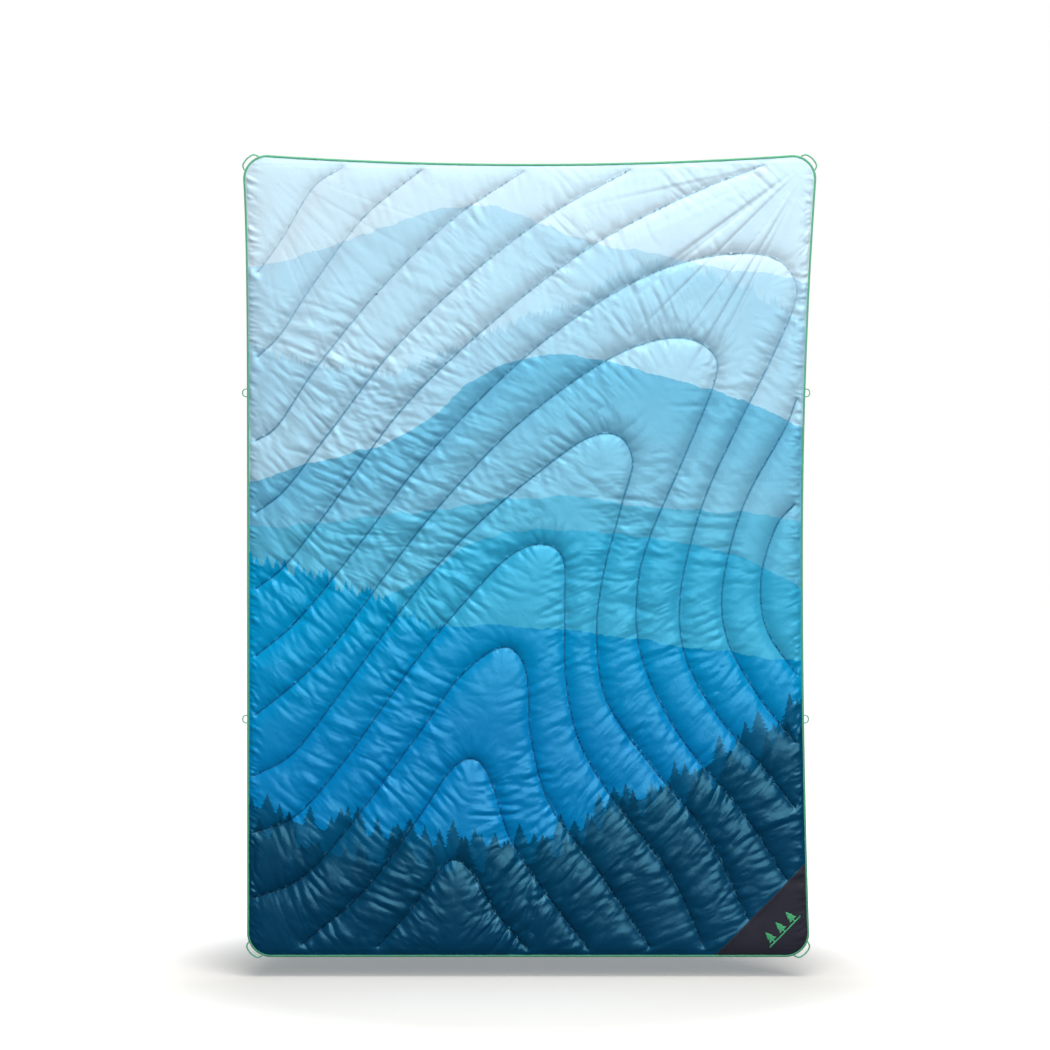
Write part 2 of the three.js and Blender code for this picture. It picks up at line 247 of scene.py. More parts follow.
CORNER_CORD = 4 * MM
CORNER_LOOP_CLEAR = 0.5 * MM
CORNER_LOOP_HALF_ANGLE = math.radians(22)
CORNER_LOOP_REACH = 11 * MM
SIDE_CORD = 3 * MM
SIDE_LOOP_CLEAR = 0.8 * MM
SIDE_LOOP_HALF_SPAN = 9 * MM
SIDE_LOOP_REACH = 8 * MM
SIDE_LOOP_HEIGHTS = (-0.565, -1.340)
SHOULDER_ALONG = 0.25
SHOULDER_RISE = 0.72
# A loop's two ends run this far into the binding and are squeezed there to a share of their size.
LOOP_SUNK = 5 * MM
LOOP_SQUEEZE = 0.5
LOOP_STEPS = 14
CORD_CORNERS = 20
PLAITS = 5
PLAIT_TURNS = 2.2
PLAIT_RELIEF = 0.07

# ---- Camera ----

VIEW_WIDTH = 2.494
VIEW_HEIGHT_Z = -0.879
LENS_MM = 100
SENSOR_MM = 36
AMBIENT = (0.05, 0.10, 0.13, 1)

FLOOR_DROP = 0.050
FLOOR_HALF = 30
FLOOR_TONES = ((0.94, 0.87, 0.80, 1), (0.98, 0.91, 0.84, 1))

# The floor glows to white from the first distance to the second, so that only the blanket's own
# shadow shows on it.
FLOOR_GLOW = (0.62, 1.35, 0.08, 0.97)

# Area lights: place, width and height, and power. The last two stand behind the blanket.
LIGHTS = {
    "wall_front": ((1.6, -7.8, 1.9), (7, 6.5), 400),
    "key_front": ((0.6, -3.0, 3.4), (4, 2), 165),
    "top": ((0, -0.2, 3.6), (3, 2.4), 90),
    "wall_rear": ((-1.6, 7.8, 1.9), (7, 6.5), 260),
    "key_rear": ((-0.6, 3.0, 3.4), (4, 2), 120),
}
REAR_LIGHTS = ("wall_rear", "key_rear")


# ---- Outline ----


def left_edge(z):
    return -HALF_WIDTH - LEFT_FLARE * np.exp(z / LEFT_FLARE_FADE)


def right_edge(z):
    from_waist = (z + WAIST_DROP) / WAIST_DROP
    flare = np.where(from_waist > 0, RIGHT_FLARE_UP, RIGHT_FLARE_DOWN)
    return HALF_WIDTH + flare * from_waist**2


def top_edge(x):
    """The sagging top edge, level with the ends of the two corner arcs."""
    left = left_edge(-CORNER_RADIUS) + CORNER_RADIUS
    right = right_edge(-CORNER_RADIUS) - CORNER_RADIUS
    from_middle = (2 * x - left - right) / (right - left)
    return -TOP_SAG * (1 - from_middle**2)


def arc_centres():
    """The centres of the four rounded corners, with the direction that each corner points in."""
    high, low = -CORNER_RADIUS, CORNER_RADIUS - HEIGHT
    return [
        (float(edge(z)) - side * CORNER_RADIUS, z, side, up)
        for z, up in ((high, 1), (low, -1))
        for edge, side in ((left_edge, -1), (right_edge, 1))
    ]


def inset_of(x, z):
    """How far points lie inside the outline."""
    sides = np.minimum(x - left_edge(z), right_edge(z) - x)
    inset = np.minimum(sides, np.minimum(top_edge(x) - z, z + HEIGHT))
    for centre_x, centre_z, side, up in arc_centres():
        across, along = (x - centre_x) * side, (z - centre_z) * up
        in_corner = (across > 0) & (along > 0)
        inset = np.where(in_corner, CORNER_RADIUS - np.hypot(across, along), inset)
    return inset


def outline(inset, step):
    """Points every step or so round the outline, that far inside it, and their outward normals."""
    high, low = -CORNER_RADIUS, CORNER_RADIUS - HEIGHT
    top_left, top_right, low_left, low_right = arc_centres()
    count = round((high - low) / step)
    across = round(2 * HALF_WIDTH / step)
    turns = np.linspace(0, math.pi / 2, 16, endpoint=False)

    def arc(corner, start):
        angle = start + turns
        return corner[0] + CORNER_RADIUS * np.cos(angle), corner[1] + CORNER_RADIUS * np.sin(angle)

    down = np.linspace(high, low, count, endpoint=False)
    up = down[::-1] - (down[-1] - low)
    bottom = np.linspace(low_left[0], low_right[0], across, endpoint=False)
    top = np.linspace(top_right[0], top_left[0], across, endpoint=False)
    pieces = [
        arc(low_left, math.pi),
        (bottom, np.full(across, -HEIGHT)),
        arc(low_right, -math.pi / 2),
        (right_edge(up), up),
        arc(top_right, 0),
        (top, top_edge(top)),
        arc(top_left, math.pi / 2),
        (left_edge(down), down),
    ]
    points = np.concatenate([np.stack(piece, 1) for piece in pieces])
    along = np.roll(points, -1, 0) - np.roll(points, 1, 0)
    along /= np.linalg.norm(along, axis=1, keepdims=True)
    outward = np.stack([along[:, 1], -along[:, 0]], 1)
    return points - inset * outward, outward


# ---- Smooth random numbers ----


def smooth_noise(values, seed):
    """One-dimensional smooth noise from -1 to 1, one bump per unit of values."""
    table = np.random.default_rng(seed).uniform(-1, 1, 4096)
    cell = np.floor(values).astype(int)
    part = values - cell
    ease = part * part * (3 - 2 * part)
    return table[cell % 4096] * (1 - ease) + table[(cell + 1) % 4096] * ease


def plane_noise(x, z, size, seed):
    """Two-dimensional smooth noise from -1 to 1, with bumps about size wide."""
    table = np.random.default_rng(seed).uniform(-1, 1, (64, 64))
    a, b = x / size + 17.3, z / size + 41.7
    i, j = np.floor(a).astype(int), np.floor(b).astype(int)
    s, t = a - i, b - j
    s, t = s * s * (3 - 2 * s), t * t * (3 - 2 * t)
    low = table[i % 64, j % 64] * (1 - s) + table[(i + 1) % 64, j % 64] * s
    high = table[i % 64, (j + 1) % 64] * (1 - s) + table[(i + 1) % 64, (j + 1) % 64] * s
    return low * (1 - t) + high * t


def creased_noise(x, z, bearing, spacing, length, seed):
    """Rounded bumps parted by sharp creases that run along the bearing angle; 0 in a crease."""
    total, weights = np.zeros_like(x), np.zeros_like(x)
    for number in range(BEARINGS):
        turn = math.pi * number / BEARINGS
        along = x * math.cos(turn) + z * math.sin(turn)
        across = z * math.cos(turn) - x * math.sin(turn)
        near = np.maximum(np.cos(2 * (bearing - turn)), 0) ** BEARING_FOCUS
        total += near * plane_noise(along / length, across / spacing, 1, seed + number)
        weights += near**2
    return np.abs(total / np.sqrt(weights))


# ---- Quilting lines ----


def smooth_curve(control, steps):
    """A uniform Catmull-Rom curve through points, with that many steps between each two."""
    p = np.concatenate([[2 * control[0] - control[1]], control, [2 * control[-1] - control[-2]]])
    t = np.linspace(0, 1, steps, endpoint=False)[:, None]
    parts = []
    for i in range(1, len(p) - 2):
        a, b = (p[i + 1] - p[i - 1]) / 2, (p[i + 2] - p[i]) / 2
        turn = 3 * (p[i + 1] - p[i]) - 2 * a - b
        ease = 2 * (p[i] - p[i + 1]) + a + b
        parts.append(p[i] + a * t + turn * t**2 + ease * t**3)
    return np.concatenate([*parts, p[-2][None]])


def lengths_along(path):
    """The length of a path up to each of its points."""
    steps = np.linalg.norm(np.diff(path, axis=0), axis=1)
    return np.concatenate([[0], np.cumsum(steps)])


def quilt_line(points, step):
    """A stitched line through points in mm, sampled evenly."""
    curve = smooth_curve(np.array(points, float) * MM, CURVE_STEPS)
    lengths = lengths_along(curve)
    even = np.linspace(0, lengths[-1], max(2, round(lengths[-1] / step) + 1))
    return np.stack([np.interp(even, lengths, curve[:, k]) for k in (0, 1)], 1)


class Seams:
    """Samples of every quilting line, with their tangents and places along their lines."""

    def __init__(self, step=MM):
        self.lines = {name: quilt_line(points, step) for name, points in QUILT_LINES.items()}
        curves = list(self.lines.values())
        self.points = np.concatenate(curves)
        self.tangents = np.concatenate([np.gradient(curve, axis=0) for curve in curves])
        self.tangents /= np.linalg.norm(self.tangents, axis=1, keepdims=True)
        self.along = np.concatenate(
            [np.arange(len(curve)) * step + 5.0 * k for k, curve in enumerate(curves)]
        )
        self.tree = KDTree(len(self.points))
        for i, (x, z) in enumerate(self.points):
            self.tree.insert((x, 0, z), i)
        self.tree.balance()

    def nearest(self, x, z):
        """For each point, its nearest sample."""
        found = [self.tree.find((a, 0, b))[1] for a, b in zip(x.ravel(), z.ravel())]
        return np.array(found).reshape(x.shape)


SEAMS = Seams()


# ---- Mean surface: the slow swells of the hanging blanket ----


def swell(x, z):
    """How far the middle of the blanket lies behind the plane of its edges."""
    fade = np.clip(inset_of(x, z) / SWELL_FADE, 0, 1)
    fade = fade * fade * (3 - 2 * fade)
    slow = SWELL_DEPTH * plane_noise(x, z, SWELL_SIZE, 3)
    return (slow + pulled_folds(x, z)) * MM * fade


def pulled_folds(x, z):
    """Long folds that fan out from the two held corners, in mm."""
    total = np.zeros_like(x)
    for corner_x, _, strength, seed in HELD_CORNERS:
        reach = np.hypot(x - corner_x, z)
        angle = np.arctan2(np.abs(x - corner_x), -z + 1e-6)
        fan = smooth_noise(angle * FOLDS_PER_RADIAN, seed)
        crease = np.maximum(0, 1 - np.abs(fan) / FOLD_WIDTH) ** 2
        fade = np.exp(-((reach - FOLD_REACH) ** 2) / FOLD_FADE)
        total += strength * (FOLD_WAVE * fan + crease) * fade
    return total


# ---- Cloth relaxation ----


def neighbours(array):
    """The mean of the four neighbours of each point; the border is repeated."""
    wide = np.pad(array, [(1, 1), (1, 1)] + [(0, 0)] * (array.ndim - 2), mode="edge")
    return (wide[:-2, 1:-1] + wide[2:, 1:-1] + wide[1:-1, :-2] + wide[1:-1, 2:]) / 4


def screened_height(pinned, drive, reach):
    """A loft that is zero where pinned and levels out at drive over the distance reach."""
    stiffness = (SPACING / reach) ** 2
    height = np.zeros(pinned.shape, np.float32)
    for _ in range(PUFF_STEPS):
        height = (4 * neighbours(height) + stiffness * drive) / (4 + stiffness)
        height[pinned] = 0
    return height


LINKS = {
    "across": (np.s_[:, :-1], np.s_[:, 1:]),
    "down": (np.s_[:-1, :], np.s_[1:, :]),
    "falling": (np.s_[:-1, :-1], np.s_[1:, 1:]),
    "rising": (np.s_[1:, :-1], np.s_[:-1, 1:]),
}


def link_rests(place, gather, direction):
    """Each link's rest length: its present one, let out by gather along the given direction."""
    rests = {}
    for name, (a, b) in LINKS.items():
        gap = place[b] - place[a]
        size = np.sqrt(np.einsum("ijk,ijk->ij", gap, gap))
        flat = gap[..., [0, 2]] / np.maximum(size, 1e-9)[..., None]
        extra = np.zeros_like(size)
        for amount, way in zip(gather, direction):
            lean = np.einsum("ijk,ijk->ij", flat, (way[a] + way[b]) / 2)
            extra += (amount[a] + amount[b]) / 2 * lean**2
        rests[name] = size * (1 + extra)
    return rests


def relax(place, rests, free):
    """Lets the cloth buckle until its links are near their rest lengths."""
    base = place.copy()
    free = free[..., None].astype(np.float32)
    for _ in range(RELAX_STEPS):
        push = np.zeros_like(place)
        for name, (a, b) in LINKS.items():
            gap = place[b] - place[a]
            size = np.sqrt(np.einsum("ijk,ijk->ij", gap, gap)) + 1e-9
            move = gap * (0.5 - 0.5 * rests[name] / size)[..., None]
            push[a] += move
            push[b] -= move
        place += RELAX_SHARE * push * free
        offset = place - base
        curl = neighbours(offset) - offset
        offset -= BEND * (neighbours(curl) - curl)
        offset *= 1 - BATT_SUPPORT
        place = base + offset * free
    return place


class Sheet:
    """One of the two fabric faces. side is -1 for the front and 1 for the back."""

    def __init__(self, side, loft, seed):
        self.side = side
        self.loft = loft
        self.seed = seed
        self.lay_flat()
        self.find_seams()
        self.puff()
        self.settle()

    def lay_flat(self):
        columns = round(FLAT_SIZE[0] / SPACING) + 1
        rows = round(FLAT_SIZE[1] / SPACING) + 1
        across, down = np.meshgrid(np.linspace(0, 1, columns), np.linspace(0, 1, rows))
        self.flat = np.stack([(across - 0.5) * FLAT_SIZE[0], -down * FLAT_SIZE[1]], -1)
        z = -down * HEIGHT
        for _ in range(3):
            left, right = left_edge(z) + HEM_INSET, right_edge(z) - HEM_INSET
            x = left + across * (right - left)
            top = top_edge(x) - HEM_INSET
            z = top + down * (HEM_INSET - HEIGHT - top)
        self.x, self.z = x, z
        self.round_corners()

    def round_corners(self):
        """Points outside a rounded corner slide in to its arc."""
        self.inside = np.ones(self.x.shape, bool)
        radius = CORNER_RADIUS - HEM_INSET
        for centre_x, centre_z, side, up in arc_centres():
            dx, dz = self.x - centre_x, self.z - centre_z
            reach = np.hypot(dx, dz)
            outside = (dx * side > 0) & (dz * up > 0) & (reach > radius)
            self.inside &= ~(outside & (reach > radius + 0.3 * SPACING))
            scale = np.where(outside, radius / np.maximum(reach, 1e-9), 1)
            self.x, self.z = centre_x + dx * scale, centre_z + dz * scale

    def find_seams(self):
        nearest = SEAMS.nearest(self.x, self.z)
        seam, tangent = SEAMS.points[nearest], SEAMS.tangents[nearest]
        dx, dz = self.x - seam[..., 0], self.z - seam[..., 1]
        ahead = dx * tangent[..., 0] + dz * tangent[..., 1]
        self.along = SEAMS.along[nearest] + ahead
        self.cross = dx * tangent[..., 1] - dz * tangent[..., 0]
        self.distance = np.hypot(dx, dz)
        self.tangent = tangent
        close = self.distance < SEAM_SNAP * SPACING
        self.on_seam = close & ~in_patch(self.x, self.z, 2 * MM)
        self.x = np.where(self.on_seam, seam[..., 0], self.x)
        self.z = np.where(self.on_seam, seam[..., 1], self.z)

    def puff(self):
        inset = inset_of(self.x, self.z)
        self.pinned = self.on_seam | (inset < HEM_PINNED)
        patchy = 1 + LOFT_PATCHINESS * plane_noise(self.x, self.z, LOFT_PATCH_SIZE, self.seed)
        taut = 1 - (1 - TAUT_LOFT) * np.exp(-((self.z / TAUT_REACH) ** 2))
        drive = self.loft * taut * patchy * np.where(in_patch(self.x, self.z, 0), PATCH_LOFT, 1)
        height = screened_height(self.pinned, drive.astype(np.float32), LOFT_REACH)
        self.middle = swell(self.x, self.z)
        y = self.middle + self.side * (SEAM_HALF + height)
        self.place = np.stack([self.x, y, self.z], -1).astype(np.float32)

    def liveliness(self):
        """How strongly the cloth puckers at each point: 0 flat, 1 usual, more where pulled."""
        patches = plane_noise(self.x, self.z, LIVELY_SIZE, self.seed + 1)
        lively = LIVELY_MEAN + LIVELY_SPREAD * patches
        for spot_x, spot_z, radius, strength in LIVELY_SPOTS:
            away = np.hypot(self.x - spot_x, self.z - spot_z) / radius
            lively = lively + strength * np.exp(-(away**2))
        lively = np.clip(lively, *LIVELY_LIMITS)
        return np.where(in_patch(self.x, self.z, -4 * MM), 0.0, lively)

    def crease_bearing(self, edge):
        """The angle that creases run at, across the seams and square to the blanket's sides.

        Also how well the seams around each point agree on it, from 0 to 1.
        """
        drift = plane_noise(self.x, self.z, CREASE_SLANT_SIZE, self.seed + 6)
        slant = CREASE_SLANT * (CREASE_SLANT_MEAN + drift)
        bearing = np.arctan2(self.tangent[..., 1], self.tangent[..., 0]) + math.pi / 2 + slant
        level = (1 - edge) * np.cos(2 * bearing) + edge
        rise = (1 - edge) * np.sin(2 * bearing)
        for _ in range(BEARING_BLURS):
            level, rise = neighbours(level), neighbours(rise)
        return np.arctan2(rise, level) / 2, np.hypot(rise, level)

    def creases(self):
        """The height of the creased cloth over the smooth one."""
        sides = np.minimum(self.x - left_edge(self.z), right_edge(self.z) - self.x)
        edge = np.exp(-((sides / EDGE_STRIP) ** 2))
        bearing, agreed = self.crease_bearing(edge)
        near = CREASE_IN_CHANNEL + (1 - CREASE_IN_CHANNEL) * np.exp(-self.distance / CREASE_FADE)
        strength = self.liveliness() * near * agreed**2 * (1 - edge)
        total = np.zeros_like(self.x)
        for number, (spacing, length, depth) in enumerate(CREASES):
            seed = self.seed + 40 + 20 * number
            bumps = creased_noise(self.x, self.z, bearing, spacing, length, seed)
            total += depth * strength * (bumps - CREASE_MEAN_BUMP)
        spacing, length, depth = EDGE_CREASES
        bumps = creased_noise(self.x, self.z, bearing, spacing, length, self.seed + 80)
        total += depth * edge * (bumps - EDGE_MEAN_BUMP)
        from_seam = np.clip(self.distance / CREASE_START, 0, 1)
        from_hem = np.clip((inset_of(self.x, self.z) - HEM_PINNED) / HEM_EASE, 0, 1)
        return total * from_seam * from_hem

    def gathers(self):
        """How much the cloth is let out, and the direction in the plane that it is let out in."""
        inset = inset_of(self.x, self.z)
        smooth = np.where(in_patch(self.x, self.z, -4 * MM), 0.0, 1.0)
        lively = self.liveliness()
        near = np.exp(-self.distance / GATHER_REACH)
        seam = (SEAM_GATHER * near + CHANNEL_GATHER) * lively
        edge = EDGE_GATHER * np.exp(-inset / EDGE_REACH) * smooth
        upright = np.zeros_like(self.tangent)
        upright[..., 1] = 1
        drag = np.zeros_like(self.tangent)
        amount = np.zeros_like(inset)
        for corner_x, drag_share, _, _ in HELD_CORNERS:
            dx, dz = self.x - corner_x, self.z
            reach = np.hypot(dx, dz) + 1e-6
            share = drag_share * np.exp(-((reach - FOLD_REACH) ** 2) / DRAG_FADE)
            take = share > amount
            round_it = np.stack([-dz / reach, dx / reach], -1)
            drag = np.where(take[..., None], round_it, drag)
            amount = np.where(take, share, amount)
        return [seam, edge, DRAG_GATHER * amount * smooth], [self.tangent, upright, drag]

    def first_waves(self):
        """Small waves, in mm, that give the relaxation something to grow."""
        slant = SEAM_WAVE_SLANT * self.cross
        (short, short_height), (long, long_height) = SEAM_WAVES
        other_side = 50 * (self.cross > 0)
        seam = short_height * smooth_noise((self.along + slant) / short + other_side, self.seed + 2)
        seam += long_height * smooth_noise((self.along - slant) / long, self.seed + 3)
        seam *= np.exp(-self.distance / SEAM_WAVE_REACH)
        seam *= np.clip(self.distance / SEAM_WAVE_START, 0, 1)
        length, height = EDGE_WAVE
        edge = height * smooth_noise(self.z / length, self.seed + 4)
        edge *= np.exp(-inset_of(self.x, self.z) / EDGE_WAVE_REACH)
        return (seam + edge) * ~self.pinned

    def settle(self):
        rests = link_rests(self.place, *self.gathers())
        self.place[..., 1] += (self.side * self.first_waves() * MM).astype(np.float32)
        self.place = relax(self.place, rests, ~self.pinned)
        outside = self.side * (self.place[..., 1] - self.middle) + self.creases()
        self.outside = np.maximum(outside, LEAST_OUTSIDE)
        self.place[..., 1] = self.middle + self.side * self.outside

    def faces(self):
        """Triangles, cut along the seams where a square has a seam on its diagonal."""
        rows, columns = self.x.shape
        index = np.arange(rows * columns).reshape(rows, columns)
        a, b = index[:-1, :-1], index[:-1, 1:]
        c, d = index[1:, 1:], index[1:, :-1]
        seam, inside = self.on_seam, self.inside
        other = seam[:-1, 1:] & seam[1:, :-1]
        odd = (np.add.outer(np.arange(rows - 1), np.arange(columns - 1)) % 2) == 1
        main = seam[:-1, :-1] & seam[1:, 1:]
        flip = other | (odd & ~main)
        keep = inside[:-1, :-1] | inside[:-1, 1:] | inside[1:, 1:] | inside[1:, :-1]
        first = np.where(flip[..., None], np.stack([a, b, d], -1), np.stack([a, b, c], -1))
        second = np.where(flip[..., None], np.stack([b, c, d], -1), np.stack([a, c, d], -1))
        triangles = np.concatenate([first[keep], second[keep]])
        return triangles if self.side > 0 else triangles[:, ::-1]

    def y_at(self, x, z):
        """The sheet's y at points of the plane, from the nearest grid points."""
        left, right = left_edge(z) + HEM_INSET, right_edge(z) - HEM_INSET
        across = ((np.asarray(x) - left) / (right - left)).clip(0, 1)
        top = top_edge(x) - HEM_INSET
        down = ((z - top) / (HEM_INSET - HEIGHT - top)).clip(0, 1)
        rows, columns = self.x.shape
        i, j = down * (rows - 1), across * (columns - 1)
        i0, j0 = np.minimum(i.astype(int), rows - 2), np.minimum(j.astype(int), columns - 2)
        s, t = i - i0, j - j0
        y = self.place[..., 1]
        upper = y[i0, j0] * (1 - t) + y[i0, j0 + 1] * t
        lower = y[i0 + 1, j0] * (1 - t) + y[i0 + 1, j0 + 1] * t
        return upper * (1 - s) + lower * s


# ---- Corner patch plane coordinates ----

PATCH_LOW = np.array([float(right_edge(-HEIGHT)) - PATCH_LEG_ACROSS, -HEIGHT])
PATCH_HIGH = np.array([float(right_edge(-HEIGHT)), PATCH_LEG_UP - HEIGHT])
PATCH_ALONG = (PATCH_HIGH - PATCH_LOW) / np.linalg.norm(PATCH_HIGH - PATCH_LOW)
PATCH_INWARD = np.array([PATCH_ALONG[1], -PATCH_ALONG[0]])


def patch_point(along, inward):
    """A point measured along the patch's long edge from its middle, and into the patch."""
    middle = (PATCH_LOW + PATCH_HIGH) / 2
    return (
        middle[0] + along * PATCH_ALONG[0] + inward * PATCH_INWARD[0],
        middle[1] + along * PATCH_ALONG[1] + inward * PATCH_INWARD[1],
    )


def in_patch(x, z, margin):
    """Whether points lie under the patch, at least margin inside its long edge."""
    middle = (PATCH_LOW + PATCH_HIGH) / 2
    inward = (x - middle[0]) * PATCH_INWARD[0] + (z - middle[1]) * PATCH_INWARD[1]
    return inward > margin


# ---- Mesh helpers ----


def mesh_object(name, vertices, faces, material, smooth=True):
    mesh = bpy.data.meshes.new(name)
    faces = np.asarray(faces)
    mesh.vertices.add(len(vertices))
    mesh.vertices.foreach_set("co", np.asarray(vertices, np.float32).ravel())
    mesh.loops.add(faces.size)
    mesh.loops.foreach_set("vertex_index", faces.ravel().astype(np.int32))
    mesh.polygons.add(len(faces))
    mesh.polygons.foreach_set("loop_start", np.arange(len(faces), dtype=np.int32) * faces.shape[1])
    mesh.update(calc_edges=True)
    mesh.polygons.foreach_set("use_smooth", np.full(len(faces), smooth))
    mesh.materials.append(material)
    obj = bpy.data.objects.new(name, mesh)
    bpy.context.scene.collection.objects.link(obj)
    return obj


def set_vector(obj, name, values):
    attribute = obj.data.attributes.new(name, "FLOAT_VECTOR", "POINT")
    attribute.data.foreach_set("vector", np.asarray(values, np.float32).ravel())


def stands_for(obj, node):
    """The piece moves with the blanket and replaces a CAD node."""
    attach(obj, "blanket")
    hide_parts(node)


def unit(vectors):
    return vectors / np.maximum(np.linalg.norm(vectors, axis=-1, keepdims=True), 1e-12)


def tube_quads(count, corners, closed):
    """Quads from each section of a tube to the next, and from the last to the first if closed."""
    ring = np.arange(count * corners).reshape(count, corners)
    following = np.roll(ring, -1, 0) if closed else ring[1:]
    start = ring if closed else ring[:-1]
    around = [start, np.roll(start, -1, 1), np.roll(following, -1, 1), following]
    return np.stack(around, -1).reshape(-1, 4)


def grid_quads(index):
    """Quads between the rows and columns of a grid of vertex numbers."""
    corners = [index[:-1, :-1], index[1:, :-1], index[1:, 1:], index[:-1, 1:]]
    return np.stack(corners, -1).reshape(-1, 4)


def swept(path, sections, closed):
    """Sections carried along a path, shape (points, corners, 2): vertices and quads.

    Each corner is an offset to the path's side, in the plane of the blanket, and to its back.
    """
    path = np.asarray(path, float)
    if closed:
        along = np.roll(path, -1, 0) - np.roll(path, 1, 0)
    else:
        along = np.gradient(path, axis=0)
    along = unit(along)
    side = unit(np.cross(along, (0.0, 1.0, 0.0)))
    lift = np.cross(side, along)
    spots = path[:, None] + sections[..., :1] * side[:, None] + sections[..., 1:] * lift[:, None]
    return spots.reshape(-1, 3), tube_quads(*sections.shape[:2], closed)


def round_section(radius, corners):
    angle = np.linspace(0, 2 * math.pi, corners, endpoint=False)
    return np.stack([radius * np.cos(angle), radius * np.sin(angle)], -1)


# ---- Shader helpers ----


def linear(red, green, blue):
    """A colour as seen on a screen, 0 to 255, in linear light."""
    values = [v / 255 for v in (red, green, blue)]
    return tuple(v / 12.92 if v <= 0.04045 else ((v + 0.055) / 1.055) ** 2.4 for v in values) + (1,)


class Shader:
    """A material under construction, with short calls for the nodes it needs."""

    def __init__(self, name):
        self.material = bpy.data.materials.new(name)
        self.material.use_nodes = True
        self.tree = self.material.node_tree
        self.principled = self.tree.nodes["Principled BSDF"]

    def node(self, kind, **settings):
        node = self.tree.nodes.new(kind)
        for key, value in settings.items():
            setattr(node, key, value)
        return node

    def feed(self, socket, value):
        if isinstance(value, bpy.types.NodeSocket):
            self.tree.links.new(value, socket)
        elif value is not None:
            socket.default_value = value

    def math(self, operation, first, second=None, third=None):
        node = self.node("ShaderNodeMath", operation=operation)
        for socket, value in zip(node.inputs, (first, second, third)):
            self.feed(socket, value)
        return node.outputs[0]

    def ramp(self, value, low, high, to_low=0.0, to_high=1.0):
        node = self.node("ShaderNodeMapRange", interpolation_type="SMOOTHSTEP")
        for socket, item in zip(node.inputs, (value, low, high, to_low, to_high)):
            self.feed(socket, item)
        return node.outputs[0]

    def mix(self, factor, first, second, blend="MIX"):
        node = self.node("ShaderNodeMix", data_type="RGBA", blend_type=blend)
        self.feed(node.inputs["Factor"], factor)
        self.feed(node.inputs["A"], first)
        self.feed(node.inputs["B"], second)
        return node.outputs["Result"]

    def grey(self, value):
        node = self.node("ShaderNodeCombineColor")
        for socket in node.inputs[:3]:
            self.feed(socket, value)
        return node.outputs[0]

    def attribute(self, name):
        node = self.node("ShaderNodeAttribute", attribute_name=name)
        return node.outputs["Vector"]

    def split(self, vector):
        node = self.node("ShaderNodeSeparateXYZ")
        self.feed(node.inputs[0], vector)
        return node.outputs

    def noise(self, vector, scale, detail=2.0, roughness=0.5):
        node = self.node("ShaderNodeTexNoise")
        self.feed(node.inputs["Vector"], vector)
        node.inputs["Scale"].default_value = scale
        node.inputs["Detail"].default_value = detail
        node.inputs["Roughness"].default_value = roughness
        return node.outputs["Fac"]

    def bump(self, height, distance, strength=1.0, normal=None):
        node = self.node("ShaderNodeBump")
        node.inputs["Distance"].default_value = distance
        node.inputs["Strength"].default_value = strength
        self.feed(node.inputs["Height"], height)
        self.feed(node.inputs["Normal"], normal)
        return node.outputs[0]

    def finish(self, colour, roughness, normal=None, **constants):
        self.feed(self.principled.inputs["Base Color"], colour)
        self.feed(self.principled.inputs["Roughness"], roughness)
        self.feed(self.principled.inputs["Normal"], normal)
        for name, value in constants.items():
            self.principled.inputs[name.replace("_", " ")].default_value = value
        return self.material


# ---- Printed landscape ----

SKY = linear(213, 230, 240)

# Each layer from far to near: crest heights in metres at even places from the left edge to the
# right, its colour at the crest and further down, and the height of its trees.
LAYERS = [
    ([-0.27, -0.21, -0.13, -0.10, -0.17, -0.22, -0.26, -0.30], (184, 215, 232), (192, 221, 236), 0),
    ([-0.46, -0.50, -0.50, -0.42, -0.35, -0.26, -0.30, -0.42], (170, 208, 228), (180, 215, 232), 0.030),
    ([-0.78, -0.72, -0.65, -0.50, -0.46, -0.50, -0.56, -0.65], (108, 182, 214), (132, 193, 219), 0),
    ([-0.88, -0.87, -0.84, -0.81, -0.80, -0.82, -0.84, -0.87], (92, 182, 214), (98, 187, 219), 0),
    ([-1.16, -1.10, -1.02, -0.90, -0.88, -0.90, -0.94, -1.03], (54, 174, 214), (66, 180, 218), 0),
    ([-0.97, -1.02, -1.10, -1.20, -1.30, -1.40, -1.50, -1.60], (0, 158, 212), (0, 160, 220), 0.045),
    ([-1.22, -1.18, -1.13, -1.11, -1.12, -1.15, -1.18, -1.20], (0, 152, 210), (0, 137, 202), 0),
    ([-1.56, -1.60, -1.63, -1.64, -1.61, -1.52, -1.43, -1.32], (0, 88, 130), (0, 78, 116), 0.088),
    ([-1.62, -1.66, -1.69, -1.70, -1.66, -1.58, -1.50, -1.38], (0, 68, 102), (4, 68, 104), 0.095),
    ([-1.70, -1.73, -1.76, -1.78, -1.78, -1.70, -1.62, -1.52], (0, 62, 96), (6, 68, 102), 0.095),
]
# Painted shade in the seams, stronger from the middle of the blanket down.
PAINTED_SEAM_SHADE = (0.30, 0.46, 0.54, 1)
PAINTED_SEAM_SHADE_HEIGHTS = (-0.15, -0.75, 0.25, 1.0)
SATIN_SHEEN = (0.26, 0.78, 1.0, 1)
PAINTED_SEAM_SHADE_REACH = (0.4 * MM, 4.5 * MM)
CREST_BUMPS = 0.048
CREST_EDGE = 0.6 * MM
LAYER_DEPTH = 0.28

# The rows of printed fir trees: how many, the spacing of the first in tree heights and how much
# wider each next one is.
FIR_ROWS = 4
FIR_SPACING = (0.36, 0.19)
FIR_EDGE = 0.5 * MM

